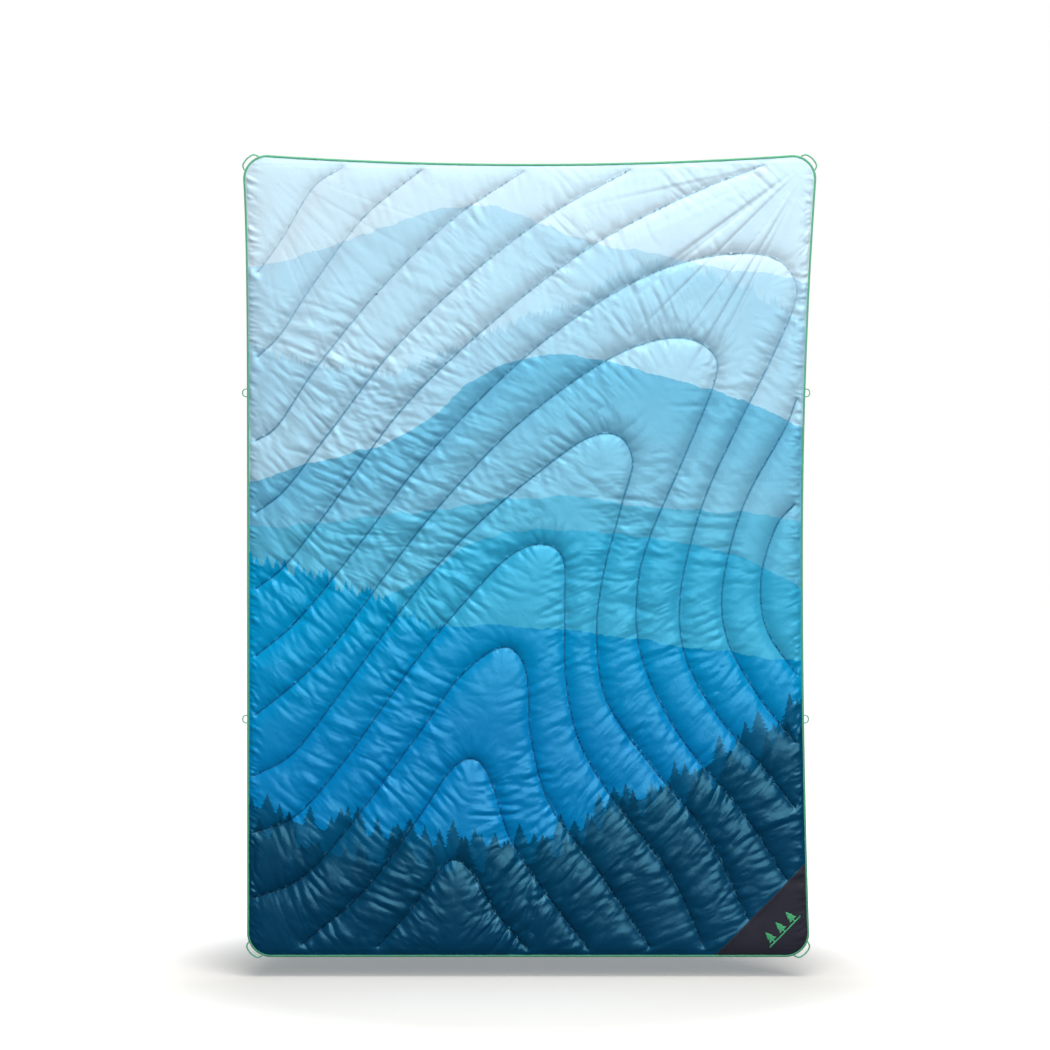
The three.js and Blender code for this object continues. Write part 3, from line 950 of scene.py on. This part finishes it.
# One fir tree: how far across its cell it stands and may drift, how unevenly tall it is and how
# deep it is sunk, and the height of a tier of branches with the shift of the left side's tiers.
FIR_PLACE = (0.35, 0.3)
FIR_UNEVEN = 1.4
FIR_SUNK = 0.1
FIR_TIER = 0.15
FIR_TIER_SHIFT = 0.45

# The half width that it gains on the way down: at a tier's top, and more at the tier's foot.
FIR_SLIM = 0.16
FIR_BRANCH = 0.20


def crest_height(shader, across, heights):
    """A smooth curve through heights, spaced evenly across the cloth."""
    node = shader.node("ShaderNodeFloatCurve")
    curve = node.mapping.curves[0]
    places = np.linspace(0, 1, len(heights))
    curve.points[0].location = (0, 1 + heights[0] / HEIGHT)
    curve.points[-1].location = (1, 1 + heights[-1] / HEIGHT)
    for place, height in list(zip(places, heights))[1:-1]:
        curve.points.new(place, 1 + height / HEIGHT)
    node.mapping.update()
    share = shader.math("ADD", shader.math("DIVIDE", across, FLAT_SIZE[0]), 0.5)
    shader.feed(node.inputs["Value"], share)
    return shader.math("MULTIPLY", shader.math("SUBTRACT", node.outputs[0], 1), HEIGHT)


def tree_row(shader, across, rise, height, spacing, shift):
    """Fir trees standing in a row: positive inside them, in metres."""
    place = shader.math("DIVIDE", shader.math("ADD", across, shift), spacing)
    cell = shader.math("FLOOR", place)
    dice = shader.node("ShaderNodeTexWhiteNoise", noise_dimensions="1D")
    shader.feed(dice.inputs["W"], shader.math("ADD", cell, shift * 100))
    tall_chance, centre_chance, width_chance = shader.split(dice.outputs["Color"])
    least, drift = FIR_PLACE
    centre = shader.math("MULTIPLY_ADD", centre_chance, drift, least)
    off = shader.math("SUBTRACT", shader.math("FRACT", place), centre)
    off = shader.math("MULTIPLY", off, spacing)
    share = shader.math("POWER", tall_chance, FIR_UNEVEN)
    tall = shader.math("MULTIPLY_ADD", share, height, -FIR_SUNK * height)
    below_tip = shader.math("SUBTRACT", tall, rise)
    left_side = shader.math("MULTIPLY", shader.math("LESS_THAN", off, 0), FIR_TIER_SHIFT)
    layer = shader.math("ADD", shader.math("DIVIDE", below_tip, height * FIR_TIER), left_side)
    branch = shader.math("FRACT", layer)
    slim = shader.math("MULTIPLY_ADD", width_chance, FIR_SLIM, FIR_SLIM)
    reach = shader.math("MULTIPLY_ADD", branch, FIR_BRANCH, slim)
    width = shader.math("MULTIPLY", below_tip, reach)
    return shader.math("SUBTRACT", width, shader.math("ABSOLUTE", off))


def landscape(shader):
    """The printed colour on the flat cloth, darkened along the seams with painted shade."""
    across, up, from_seam = shader.split(shader.attribute("flat"))
    bumps = shader.noise(shader.attribute("flat"), 9, 5, 0.6)
    ripple = shader.math("MULTIPLY", shader.math("SUBTRACT", bumps, 0.5), CREST_BUMPS)
    colour = SKY
    for number, (heights, crest, lower, trees) in enumerate(LAYERS):
        top = shader.math("ADD", crest_height(shader, across, heights), ripple)
        depth = shader.math("SUBTRACT", top, up)
        inside = shader.ramp(depth, -CREST_EDGE, CREST_EDGE)
        if trees:
            rise = shader.math("MULTIPLY", depth, -1)
            for row in range(FIR_ROWS):
                spacing = trees * (FIR_SPACING[0] + FIR_SPACING[1] * row)
                tree = tree_row(shader, across, rise, trees, spacing, 1.3 + 0.61 * row + number)
                inside = shader.math("MAXIMUM", inside, shader.ramp(tree, -FIR_EDGE, FIR_EDGE))
        shade = shader.mix(shader.ramp(depth, 0, LAYER_DEPTH), linear(*crest), linear(*lower))
        colour = shader.mix(inside, colour, shade)
    # Painted shade: the print is darkened close to each seam, more so lower down.
    shaded = shader.mix(shader.ramp(up, *PAINTED_SEAM_SHADE_HEIGHTS), colour, PAINTED_SEAM_SHADE, "MULTIPLY")
    return shader.mix(shader.ramp(from_seam, *PAINTED_SEAM_SHADE_REACH), shaded, colour)


WEAVE_PITCH = 0.45 * MM
WEAVE_DEPTH = 0.03 * MM
RIPSTOP_EVERY = 12
RIPSTOP_NARROWNESS = 40
FINE_CREASE = 0.6 * MM


def weave_height(shader):
    """A plain weave with a thicker yarn every few millimetres, as ripstop cloth has."""
    across, up, _ = shader.split(shader.attribute("flat"))
    waves = [
        shader.math("SINE", shader.math("MULTIPLY", axis, 2 * math.pi / WEAVE_PITCH))
        for axis in (across, up)
    ]
    fine = shader.math("MULTIPLY", waves[0], waves[1])
    grid = []
    for axis in (across, up):
        turn = shader.math("MULTIPLY", axis, math.pi / (RIPSTOP_EVERY * WEAVE_PITCH))
        wave = shader.math("ABSOLUTE", shader.math("COSINE", turn))
        grid.append(shader.math("POWER", wave, RIPSTOP_NARROWNESS))
    ribs = shader.math("MAXIMUM", *grid)
    return shader.math("MULTIPLY_ADD", fine, 0.3, ribs)


def cloth_normal(shader):
    """Fine creases with the weave on them."""
    crease = shader.noise(shader.attribute("flat"), 60, 4, 0.6)
    normal = shader.bump(crease, FINE_CREASE, 0.5)
    return shader.bump(weave_height(shader), WEAVE_DEPTH, 0.6, normal)


def face_material():
    shader = Shader("face_fabric")
    colour = landscape(shader)
    normal = cloth_normal(shader)
    rough = shader.ramp(shader.noise(shader.attribute("flat"), 25, 3), 0.3, 0.7, 0.27, 0.35)
    return shader.finish(colour, rough, normal, Specular_IOR_Level=0.9, Specular_Tint=SATIN_SHEEN)


def back_material():
    shader = Shader("back_fabric")
    tone = shader.noise(shader.attribute("flat"), 14, 4)
    colour = shader.mix(tone, linear(14, 62, 96), linear(20, 74, 110))
    return shader.finish(colour, 0.4, cloth_normal(shader), Specular_IOR_Level=0.7)


def plain_material(name, colour, roughness, specular=0.4, grain=900, depth=0.05):
    """Thread, tape or batt: a colour with a fine fibrous grain."""
    shader = Shader(name)
    place = shader.node("ShaderNodeTexCoord").outputs["Object"]
    fibres = shader.noise(place, grain, 3, 0.6)
    dark = tuple(0.72 * c for c in colour[:3]) + (1,)
    tint = shader.mix(fibres, dark, colour)
    normal = shader.bump(fibres, depth * MM, 0.8)
    return shader.finish(tint, roughness, normal, Specular_IOR_Level=specular,
                         Sheen_Weight=0.15, Sheen_Roughness=0.5)


# ---- Colours of the small parts ----

MINT = linear(105, 190, 145)
MINT_PALE = linear(150, 215, 180)
MINT_THREAD = linear(90, 205, 140)
AUBERGINE = linear(40, 36, 50)
SEAM_THREAD = [linear(6, 44, 70), linear(14, 88, 130), linear(120, 166, 188)]
SEAM_THREAD_CHANGES = [(-1.65, -1.45), (-0.80, -0.15)]
NAVY_THREAD = linear(16, 50, 80)
BATT = linear(238, 240, 238)


def face_thread_material():
    """Clear nylon thread, which takes on the tone of the print around it."""
    shader = Shader("quilt_thread_face")
    _, _, up = shader.split(shader.node("ShaderNodeTexCoord").outputs["Object"])
    colour = SEAM_THREAD[0]
    for change, higher in zip(SEAM_THREAD_CHANGES, SEAM_THREAD[1:]):
        colour = shader.mix(shader.ramp(up, *change), colour, higher)
    return shader.finish(colour, 0.6, Specular_IOR_Level=0.2, Specular_Tint=SATIN_SHEEN)


def patch_material():
    shader = Shader("patch_fabric")
    place = shader.node("ShaderNodeTexCoord").outputs["Object"]
    x, _, z = shader.split(place)
    yarns = [
        shader.math("SINE", shader.math("MULTIPLY", axis, 2 * math.pi / PATCH_WEAVE_PITCH))
        for axis in (x, z)
    ]
    weave = shader.math("MULTIPLY", yarns[0], yarns[1])
    cloud = shader.noise(place, 30, 4)
    colour = shader.mix(cloud, linear(34, 31, 43), linear(47, 42, 58))
    normal = shader.bump(cloud, 1.2 * MM, 0.4)
    normal = shader.bump(weave, 0.08 * MM, 0.5, normal)
    return shader.finish(colour, 0.7, normal, Specular_IOR_Level=0.35, Sheen_Weight=0.15,
                         Sheen_Roughness=0.5)


# ---- Pieces ----


def add_sheets():
    front = Sheet(-1, LOFT, SEED)
    back = Sheet(1, LOFT * BACK_LOFT, SEED + 100)
    for name, node, slot, sheet, material in (
        ("front_sheet", "front_fabric", "face_fabric", front, face_material()),
        ("back_sheet", "back_fabric", "back_fabric", back, back_material()),
    ):
        vertices, triangles = sheet.place.reshape(-1, 3), sheet.faces()
        obj = mesh_object(name, vertices, triangles, material)
        sheet.tree = BVHTree.FromPolygons(vertices.tolist(), triangles.tolist())
        from_seam = np.minimum(sheet.distance, SEAM_FAR)
        set_vector(obj, "flat", np.concatenate([sheet.flat, from_seam[..., None]], -1))
        stands_for(obj, node)
    return front, back


def add_batt(front, back):
    """The insulation, a closed pillow between the two sheets."""
    pick = np.s_[2:-2:2, 2:-2:2]
    around = range(-2, 3)
    x, z = front.x[pick], front.z[pick]
    rows, columns = x.shape
    layers = []
    for sheet in (front, back):
        lowest = np.min([np.roll(sheet.outside, (i, j), (0, 1)) for i in around for j in around], 0)
        thick = np.maximum(BATT_LEAST, BATT_FILL * lowest[pick] - BATT_GAP)
        layers.append(np.stack([x, sheet.middle[pick] + sheet.side * thick, z], -1))
    vertices = np.concatenate([layer.reshape(-1, 3) for layer in layers])
    index = np.arange(rows * columns).reshape(rows, columns)
    face = grid_quads(index)
    rim = np.concatenate([index[0, :-1], index[:-1, -1], index[-1, :0:-1], index[:0:-1, 0]])
    ring = np.stack([rim, np.roll(rim, -1), np.roll(rim, -1) + index.size, rim + index.size], -1)
    faces = np.concatenate([face, face[:, ::-1] + index.size, ring])
    material = plain_material("insulation", BATT, 0.95, 0.2, 160, 0.6)
    obj = mesh_object("batt", vertices, faces, material)
    stands_for(obj, "insulation_batt")


def on_surface(tree, side, x, z, fallback):
    """The y of the cloth's outside at points of the plane."""
    y = np.array(fallback, float)
    for i, (a, b) in enumerate(zip(x, z)):
        hit = tree.ray_cast((a, side * 0.1, b), (0, -side, 0))[0]
        if hit is not None:
            y[i] = hit[1]
    return y


def stitched(path, normal_side, material, name, closed=False):
    """A row of stitches along a path: the thread dips into the cloth at each needle hole."""
    count = len(path)
    path = path.copy()
    path[:, 1] += normal_side * np.resize(STITCH_ARCH, count) * THREAD
    section = np.broadcast_to(round_section(THREAD, 5), (count, 5, 2))
    vertices, quads = swept(path, section, closed)
    return mesh_object(name, vertices, quads, material)


def add_quilting(front, back):
    for side, sheet, material in (
        ("front", front, face_thread_material()),
        ("back", back, plain_material("quilt_thread_rear", NAVY_THREAD, 0.55)),
    ):
        for name in QUILT_LINES:
            line = quilt_line(QUILT_LINES[name], STITCH / 4)
            level = swell(line[:, 0], line[:, 1]) + sheet.side * SEAM_HALF
            y = on_surface(sheet.tree, sheet.side, line[:, 0], line[:, 1], level)
            path = np.stack([line[:, 0], y, line[:, 1]], -1)
            obj = stitched(path, sheet.side, material, f"stitching_{side}_{name}")
            stands_for(obj, f"quilt_thread_{side}_{name}")


def add_binding():
    """Folded tape round the edge, a closed U in section, with the small pulls of its stitches."""
    points, outward = outline(0, BINDING_STEP)
    count = len(points)
    outer, inner = np.array(BINDING_OUTER) * MM, np.array(BINDING_INNER) * MM
    ring = np.concatenate([outer, outer[::-1] * (1, -1), inner[::-1] * (1, -1), inner])
    sections = np.broadcast_to(ring, (count, len(ring), 2)).copy()
    steps = np.arange(count) * BINDING_STEP
    for axis, (share, pitch), seed in ((1, BINDING_PULL, 31), (0, BINDING_DRIFT, 32)):
        sections[..., axis] *= 1 + share * smooth_noise(steps / pitch, seed)[:, None]
    y = swell(points[:, 0], points[:, 1])
    spots = np.empty((count, len(ring), 3))
    spots[..., 0] = points[:, None, 0] - sections[..., 0] * outward[:, None, 0]
    spots[..., 2] = points[:, None, 1] - sections[..., 0] * outward[:, None, 1]
    spots[..., 1] = y[:, None] - sections[..., 1]
    quads = tube_quads(count, len(ring), True)
    material = plain_material("binding_tape", MINT, 0.6, 0.4, 1200, 0.08)
    obj = mesh_object("binding", spots.reshape(-1, 3), quads, material)
    stands_for(obj, "edge_binding")


def add_binding_stitches():
    points, _ = outline(BINDING_STITCH_INSET, STITCH / 4)
    material = plain_material("binding_thread", MINT_THREAD, 0.5)
    for side, sign in (("front", -1), ("back", 1)):
        y = swell(points[:, 0], points[:, 1]) + sign * BINDING_HALF
        path = np.stack([points[:, 0], y, points[:, 1]], -1)
        obj = stitched(path, sign, material, f"binding_stitching_{side}", closed=True)
        stands_for(obj, f"binding_stitch_{side}")


def row_limit(inward, direction):
    """How far along a row of the patch reaches before the binding."""
    low, high = 0.0, 0.25
    for _ in range(30):
        middle = (low + high) / 2
        x, z = patch_point(direction * middle, inward)
        inside = inset_of(np.array(x), np.array(z)) > PATCH_INSET
        low, high = (middle, high) if inside else (low, middle)
    return low


def add_patch(front):
    corner_reach = 0.0
    while inset_of(*map(np.array, patch_point(0, corner_reach))) > PATCH_INSET:
        corner_reach += 0.2 * MM
    inward = np.linspace(0, corner_reach - 0.4 * MM, PATCH_ROWS)
    grid = []
    for depth in inward:
        left, right = -row_limit(depth, -1), row_limit(depth, 1)
        grid.append(np.stack(patch_point(np.linspace(left, right, PATCH_COLUMNS), depth), -1))
    grid = np.array(grid)
    x, z = grid[..., 0], grid[..., 1]
    hem = PATCH_HEM * np.exp(-((inward / PATCH_HEM_WIDTH - 1) ** 2) / 2)[:, None]
    y = front.y_at(x, z) - PATCH_LIFT - hem
    vertices = np.stack([x, y, z], -1).reshape(-1, 3)
    index = np.arange(x.size).reshape(x.shape)
    obj = mesh_object("patch", vertices, grid_quads(index), patch_material())
    thick = obj.modifiers.new("cloth", "SOLIDIFY")
    thick.thickness = PATCH_THICKNESS
    thick.offset = 0
    stands_for(obj, "corner_patch")


def add_patch_stitch(front):
    low = PATCH_STITCH_INWARD - row_limit(PATCH_STITCH_INWARD, -1)
    high = row_limit(PATCH_STITCH_INWARD, 1) - PATCH_STITCH_INWARD
    along = np.arange(low, high, STITCH / 4)
    x, z = patch_point(along, np.full(along.size, PATCH_STITCH_INWARD))
    y = front.y_at(x, z) - PATCH_LIFT - PATCH_STITCH_LIFT
    material = plain_material("patch_thread", AUBERGINE, 0.5)
    obj = stitched(np.stack([x, y, z], -1), -1, material, "patch_stitching")
    stands_for(obj, "patch_stitch")


# ---- Embroidery: three fir trees on a ground line, in satin stitch ----

EMBROIDERY_FOOT = (-2 * MM, 80 * MM)
GROUND_HALF = 52 * MM
GROUND_HEIGHT = 3 * MM
TREE_SPACING = 34 * MM
SATIN_PITCH = 0.55 * MM
SATIN_RADIUS = 0.32 * MM
SATIN_LIFT = 0.3 * MM
SATIN_ARCH = 0.5 * MM
TREE_HEIGHT = 30 * MM
TREE_TIERS = (5 * MM, 14 * MM)


def tree_half_width(rise):
    """Half the width of a fir tree at a height above the ground line: a trunk and two tiers."""
    low, high = TREE_TIERS
    if rise < low:
        return 1.5 * MM
    if rise < high:
        return np.interp(rise, (low, high), (11 * MM, 5 * MM))
    return np.interp(rise, (high, TREE_HEIGHT), (8 * MM, 0.6 * MM))


def satin_threads():
    """Each thread as (start, end), along the patch and up from the ground line's foot."""
    threads = []
    for along in np.arange(-GROUND_HALF, GROUND_HALF, SATIN_PITCH):
        threads.append(((along, 0), (along + 0.4 * MM, GROUND_HEIGHT)))
    for centre in (-TREE_SPACING, 0, TREE_SPACING):
        for rise in np.arange(SATIN_LIFT, TREE_HEIGHT, SATIN_PITCH):
            half = tree_half_width(rise)
            height = GROUND_HEIGHT + rise
            threads.append(((centre - half, height), (centre + half, height + 0.3 * MM)))
    return threads


def add_embroidery(front):
    vertices, quads = [], []
    spread = np.linspace(0, 1, 7)
    total = 0
    for start, end in satin_threads():
        start, end = np.array(start), np.array(end)
        line = start + (end - start) * spread[:, None]
        along = EMBROIDERY_FOOT[0] + line[:, 0]
        inward = EMBROIDERY_FOOT[1] - line[:, 1]
        x, z = patch_point(along, inward)
        arch = np.sin(math.pi * spread) ** 0.5 * SATIN_ARCH
        y = front.y_at(x, z) - PATCH_LIFT - SATIN_LIFT - arch
        section = np.broadcast_to(round_section(SATIN_RADIUS, 5), (7, 5, 2))
        part, faces = swept(np.stack([x, y, z], -1), section, False)
        vertices.append(part)
        quads.append(faces + total)
        total += len(part)
    material = plain_material("embroidery_thread", MINT_THREAD, 0.35, 0.6)
    obj = mesh_object("embroidery", np.concatenate(vertices), np.concatenate(quads), material)
    stands_for(obj, "patch_embroidery")


# ---- Cord loops ----


def cord_material():
    shader = Shader("loop_cord")
    place = shader.node("ShaderNodeTexCoord").outputs["Object"]
    grain = shader.noise(place, 700, 3)
    around, along, _ = shader.split(shader.attribute("braid"))
    plaits = [
        shader.math("SINE", shader.math("ADD", shader.math("MULTIPLY", around, PLAITS * sign), along))
        for sign in (1, -1)
    ]
    fleck = shader.math("GREATER_THAN", shader.math("MULTIPLY", plaits[0], plaits[1]), 0.2)
    colour = shader.mix(shader.math("MULTIPLY", fleck, 0.6), MINT, MINT_PALE)
    return shader.finish(colour, 0.6, shader.bump(grain, 0.08 * MM, 0.8),
                         Specular_IOR_Level=0.4, Sheen_Weight=0.2, Sheen_Roughness=0.5)


def braided(path, radius):
    """A braided cord's sections along a path, thinner at the sewn ends, and its plait angles."""
    angle = np.linspace(0, 2 * math.pi, CORD_CORNERS, endpoint=False)
    lengths = lengths_along(path)[:, None]
    from_end = np.minimum(lengths, lengths[-1] - lengths)
    squeeze = np.minimum(LOOP_SQUEEZE + (1 - LOOP_SQUEEZE) * from_end / LOOP_SUNK, 1)
    twist = PLAIT_TURNS * lengths / radius
    plait = np.sin(PLAITS * angle + twist) * np.sin(PLAITS * angle - twist)
    size = radius * squeeze * (1 - PLAIT_RELIEF + PLAIT_RELIEF * plait)
    sections = np.stack([size * np.cos(angle), size * np.sin(angle)], -1)
    braid = np.zeros((len(path) * CORD_CORNERS, 3))
    braid[:, 0] = np.tile(angle, len(path))
    braid[:, 1] = np.repeat(twist, CORD_CORNERS)
    return sections, braid


def add_loop(name, ends, crown, radius, material):
    """A braided cord arch whose ends dive into the binding."""
    ends = first, last = np.array(ends)
    middle = (first + last) / 2
    rise = np.array(crown) - middle
    out = unit(rise)
    shoulders = [end + SHOULDER_ALONG * (middle - end) + SHOULDER_RISE * rise for end in ends]
    sunk = [end - LOOP_SUNK * out for end in ends]
    control = np.array([sunk[0], first, shoulders[0], crown, shoulders[1], last, sunk[1]])
    path = smooth_curve(control, LOOP_STEPS)
    sections, braid = braided(path, radius)
    vertices, quads = swept(path, sections, False)
    obj = mesh_object(f"cord_{name}", vertices, quads, material)
    set_vector(obj, "braid", braid)
    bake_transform(obj)
    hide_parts(name)


def add_corner_loops(material):
    names = {(-1, 1): "top_left", (1, 1): "top_right",
             (-1, -1): "bottom_left", (1, -1): "bottom_right"}
    radius = CORNER_CORD / 2
    foot = CORNER_RADIUS + radius + CORNER_LOOP_CLEAR
    for centre_x, centre_z, side, up in arc_centres():
        middle = math.atan2(up, side)
        turns = [(middle - CORNER_LOOP_HALF_ANGLE, foot), (middle + CORNER_LOOP_HALF_ANGLE, foot),
                 (middle, CORNER_RADIUS + CORNER_LOOP_REACH)]
        first, last, crown = [
            (centre_x + reach * math.cos(turn), 0, centre_z + reach * math.sin(turn))
            for turn, reach in turns
        ]
        add_loop(f"corner_loop_{names[side, up]}", (first, last), crown, radius, material)


def add_side_loops(material):
    radius = SIDE_CORD / 2
    for side, edge, out in (("left", left_edge, -1), ("right", right_edge, 1)):
        for z, height in zip(SIDE_LOOP_HEIGHTS, ("upper", "lower")):
            foot = float(edge(z)) + out * (radius + SIDE_LOOP_CLEAR)
            ends = [(foot, 0, z - SIDE_LOOP_HALF_SPAN), (foot, 0, z + SIDE_LOOP_HALF_SPAN)]
            crown = (foot + out * SIDE_LOOP_REACH, 0, z)
            add_loop(f"side_loop_{height}_{side}", ends, crown, radius, material)


# ---- Studio ----


def add_camera():
    camera = bpy.data.cameras.new("camera")
    camera.lens = LENS_MM
    camera.sensor_width = SENSOR_MM
    obj = bpy.data.objects.new("camera", camera)
    bpy.context.scene.collection.objects.link(obj)
    obj.location = (0, -VIEW_WIDTH * LENS_MM / SENSOR_MM, VIEW_HEIGHT_Z)
    obj.rotation_euler = (math.pi / 2, 0, 0)
    bpy.context.scene.camera = obj


def add_floor():
    corners = ((-1, -1), (1, -1), (1, 1), (-1, 1))
    vertices = [(FLOOR_HALF * x, FLOOR_HALF * y, -HEIGHT - FLOOR_DROP) for x, y in corners]
    shader = Shader("floor")
    place = shader.node("ShaderNodeTexCoord").outputs["Object"]
    grain = shader.noise(place, 3, 3)
    colour = shader.mix(grain, *FLOOR_TONES)
    x, y, _ = shader.split(place)
    away = shader.math("SQRT", shader.math("ADD", shader.math("MULTIPLY", x, x),
                                           shader.math("MULTIPLY", y, y)))
    glow = shader.ramp(away, *FLOOR_GLOW)
    shader.feed(shader.principled.inputs["Emission Color"], shader.grey(glow))
    material = shader.finish(colour, 0.9, Specular_IOR_Level=0.1, Emission_Strength=1.0)
    floor = mesh_object("floor", vertices, [(0, 1, 2, 3)], material, smooth=False)
    floor.visible_diffuse = False
    floor.visible_glossy = False
    return floor


def add_area_light(name, place, size, power):
    light = bpy.data.lights.new(name, "AREA")
    light.shape = "RECTANGLE"
    light.size, light.size_y = size
    light.energy = power
    obj = bpy.data.objects.new(name, light)
    bpy.context.scene.collection.objects.link(obj)
    obj.location = place
    towards = Vector((0, 0, -HEIGHT / 2)) - Vector(place)
    obj.rotation_euler = towards.to_track_quat("-Z", "Y").to_euler()
    obj.visible_camera = False
    return obj


def add_lights(floor):
    """A wide soft wall and a higher key light in front, a weaker pair behind, and one on top.

    The rear pair leaves the floor alone, so that the blanket's shadow stays behind it.
    """
    spared = bpy.data.collections.new("not_lit_from_behind")
    spared.objects.link(floor)
    spared.collection_objects[0].light_linking.link_state = "EXCLUDE"
    for name, settings in LIGHTS.items():
        light = add_area_light(name, *settings)
        if name in REAR_LIGHTS:
            light.light_linking.receiver_collection = spared


def set_world():
    """White to the camera, and a dim cold fill for the blanket."""
    scene = bpy.context.scene
    scene.view_settings.view_transform = "Standard"
    world = bpy.data.worlds.new("studio")
    scene.world = world
    world.use_nodes = True
    tree = world.node_tree
    background = tree.nodes["Background"]
    ray = tree.nodes.new("ShaderNodeLightPath")
    level = tree.nodes.new("ShaderNodeMix")
    level.data_type = "RGBA"
    level.inputs["A"].default_value = AMBIENT
    level.inputs["B"].default_value = (1, 1, 1, 1)
    tree.links.new(ray.outputs["Is Camera Ray"], level.inputs["Factor"])
    tree.links.new(level.outputs["Result"], background.inputs["Color"])


add_camera()
add_lights(add_floor())
set_world()
front_sheet, back_sheet = add_sheets()
add_batt(front_sheet, back_sheet)
add_quilting(front_sheet, back_sheet)
add_binding()
add_binding_stitches()
add_patch(front_sheet)
add_patch_stitch(front_sheet)
add_embroidery(front_sheet)
cord = cord_material()
add_corner_loops(cord)
add_side_loops(cord)
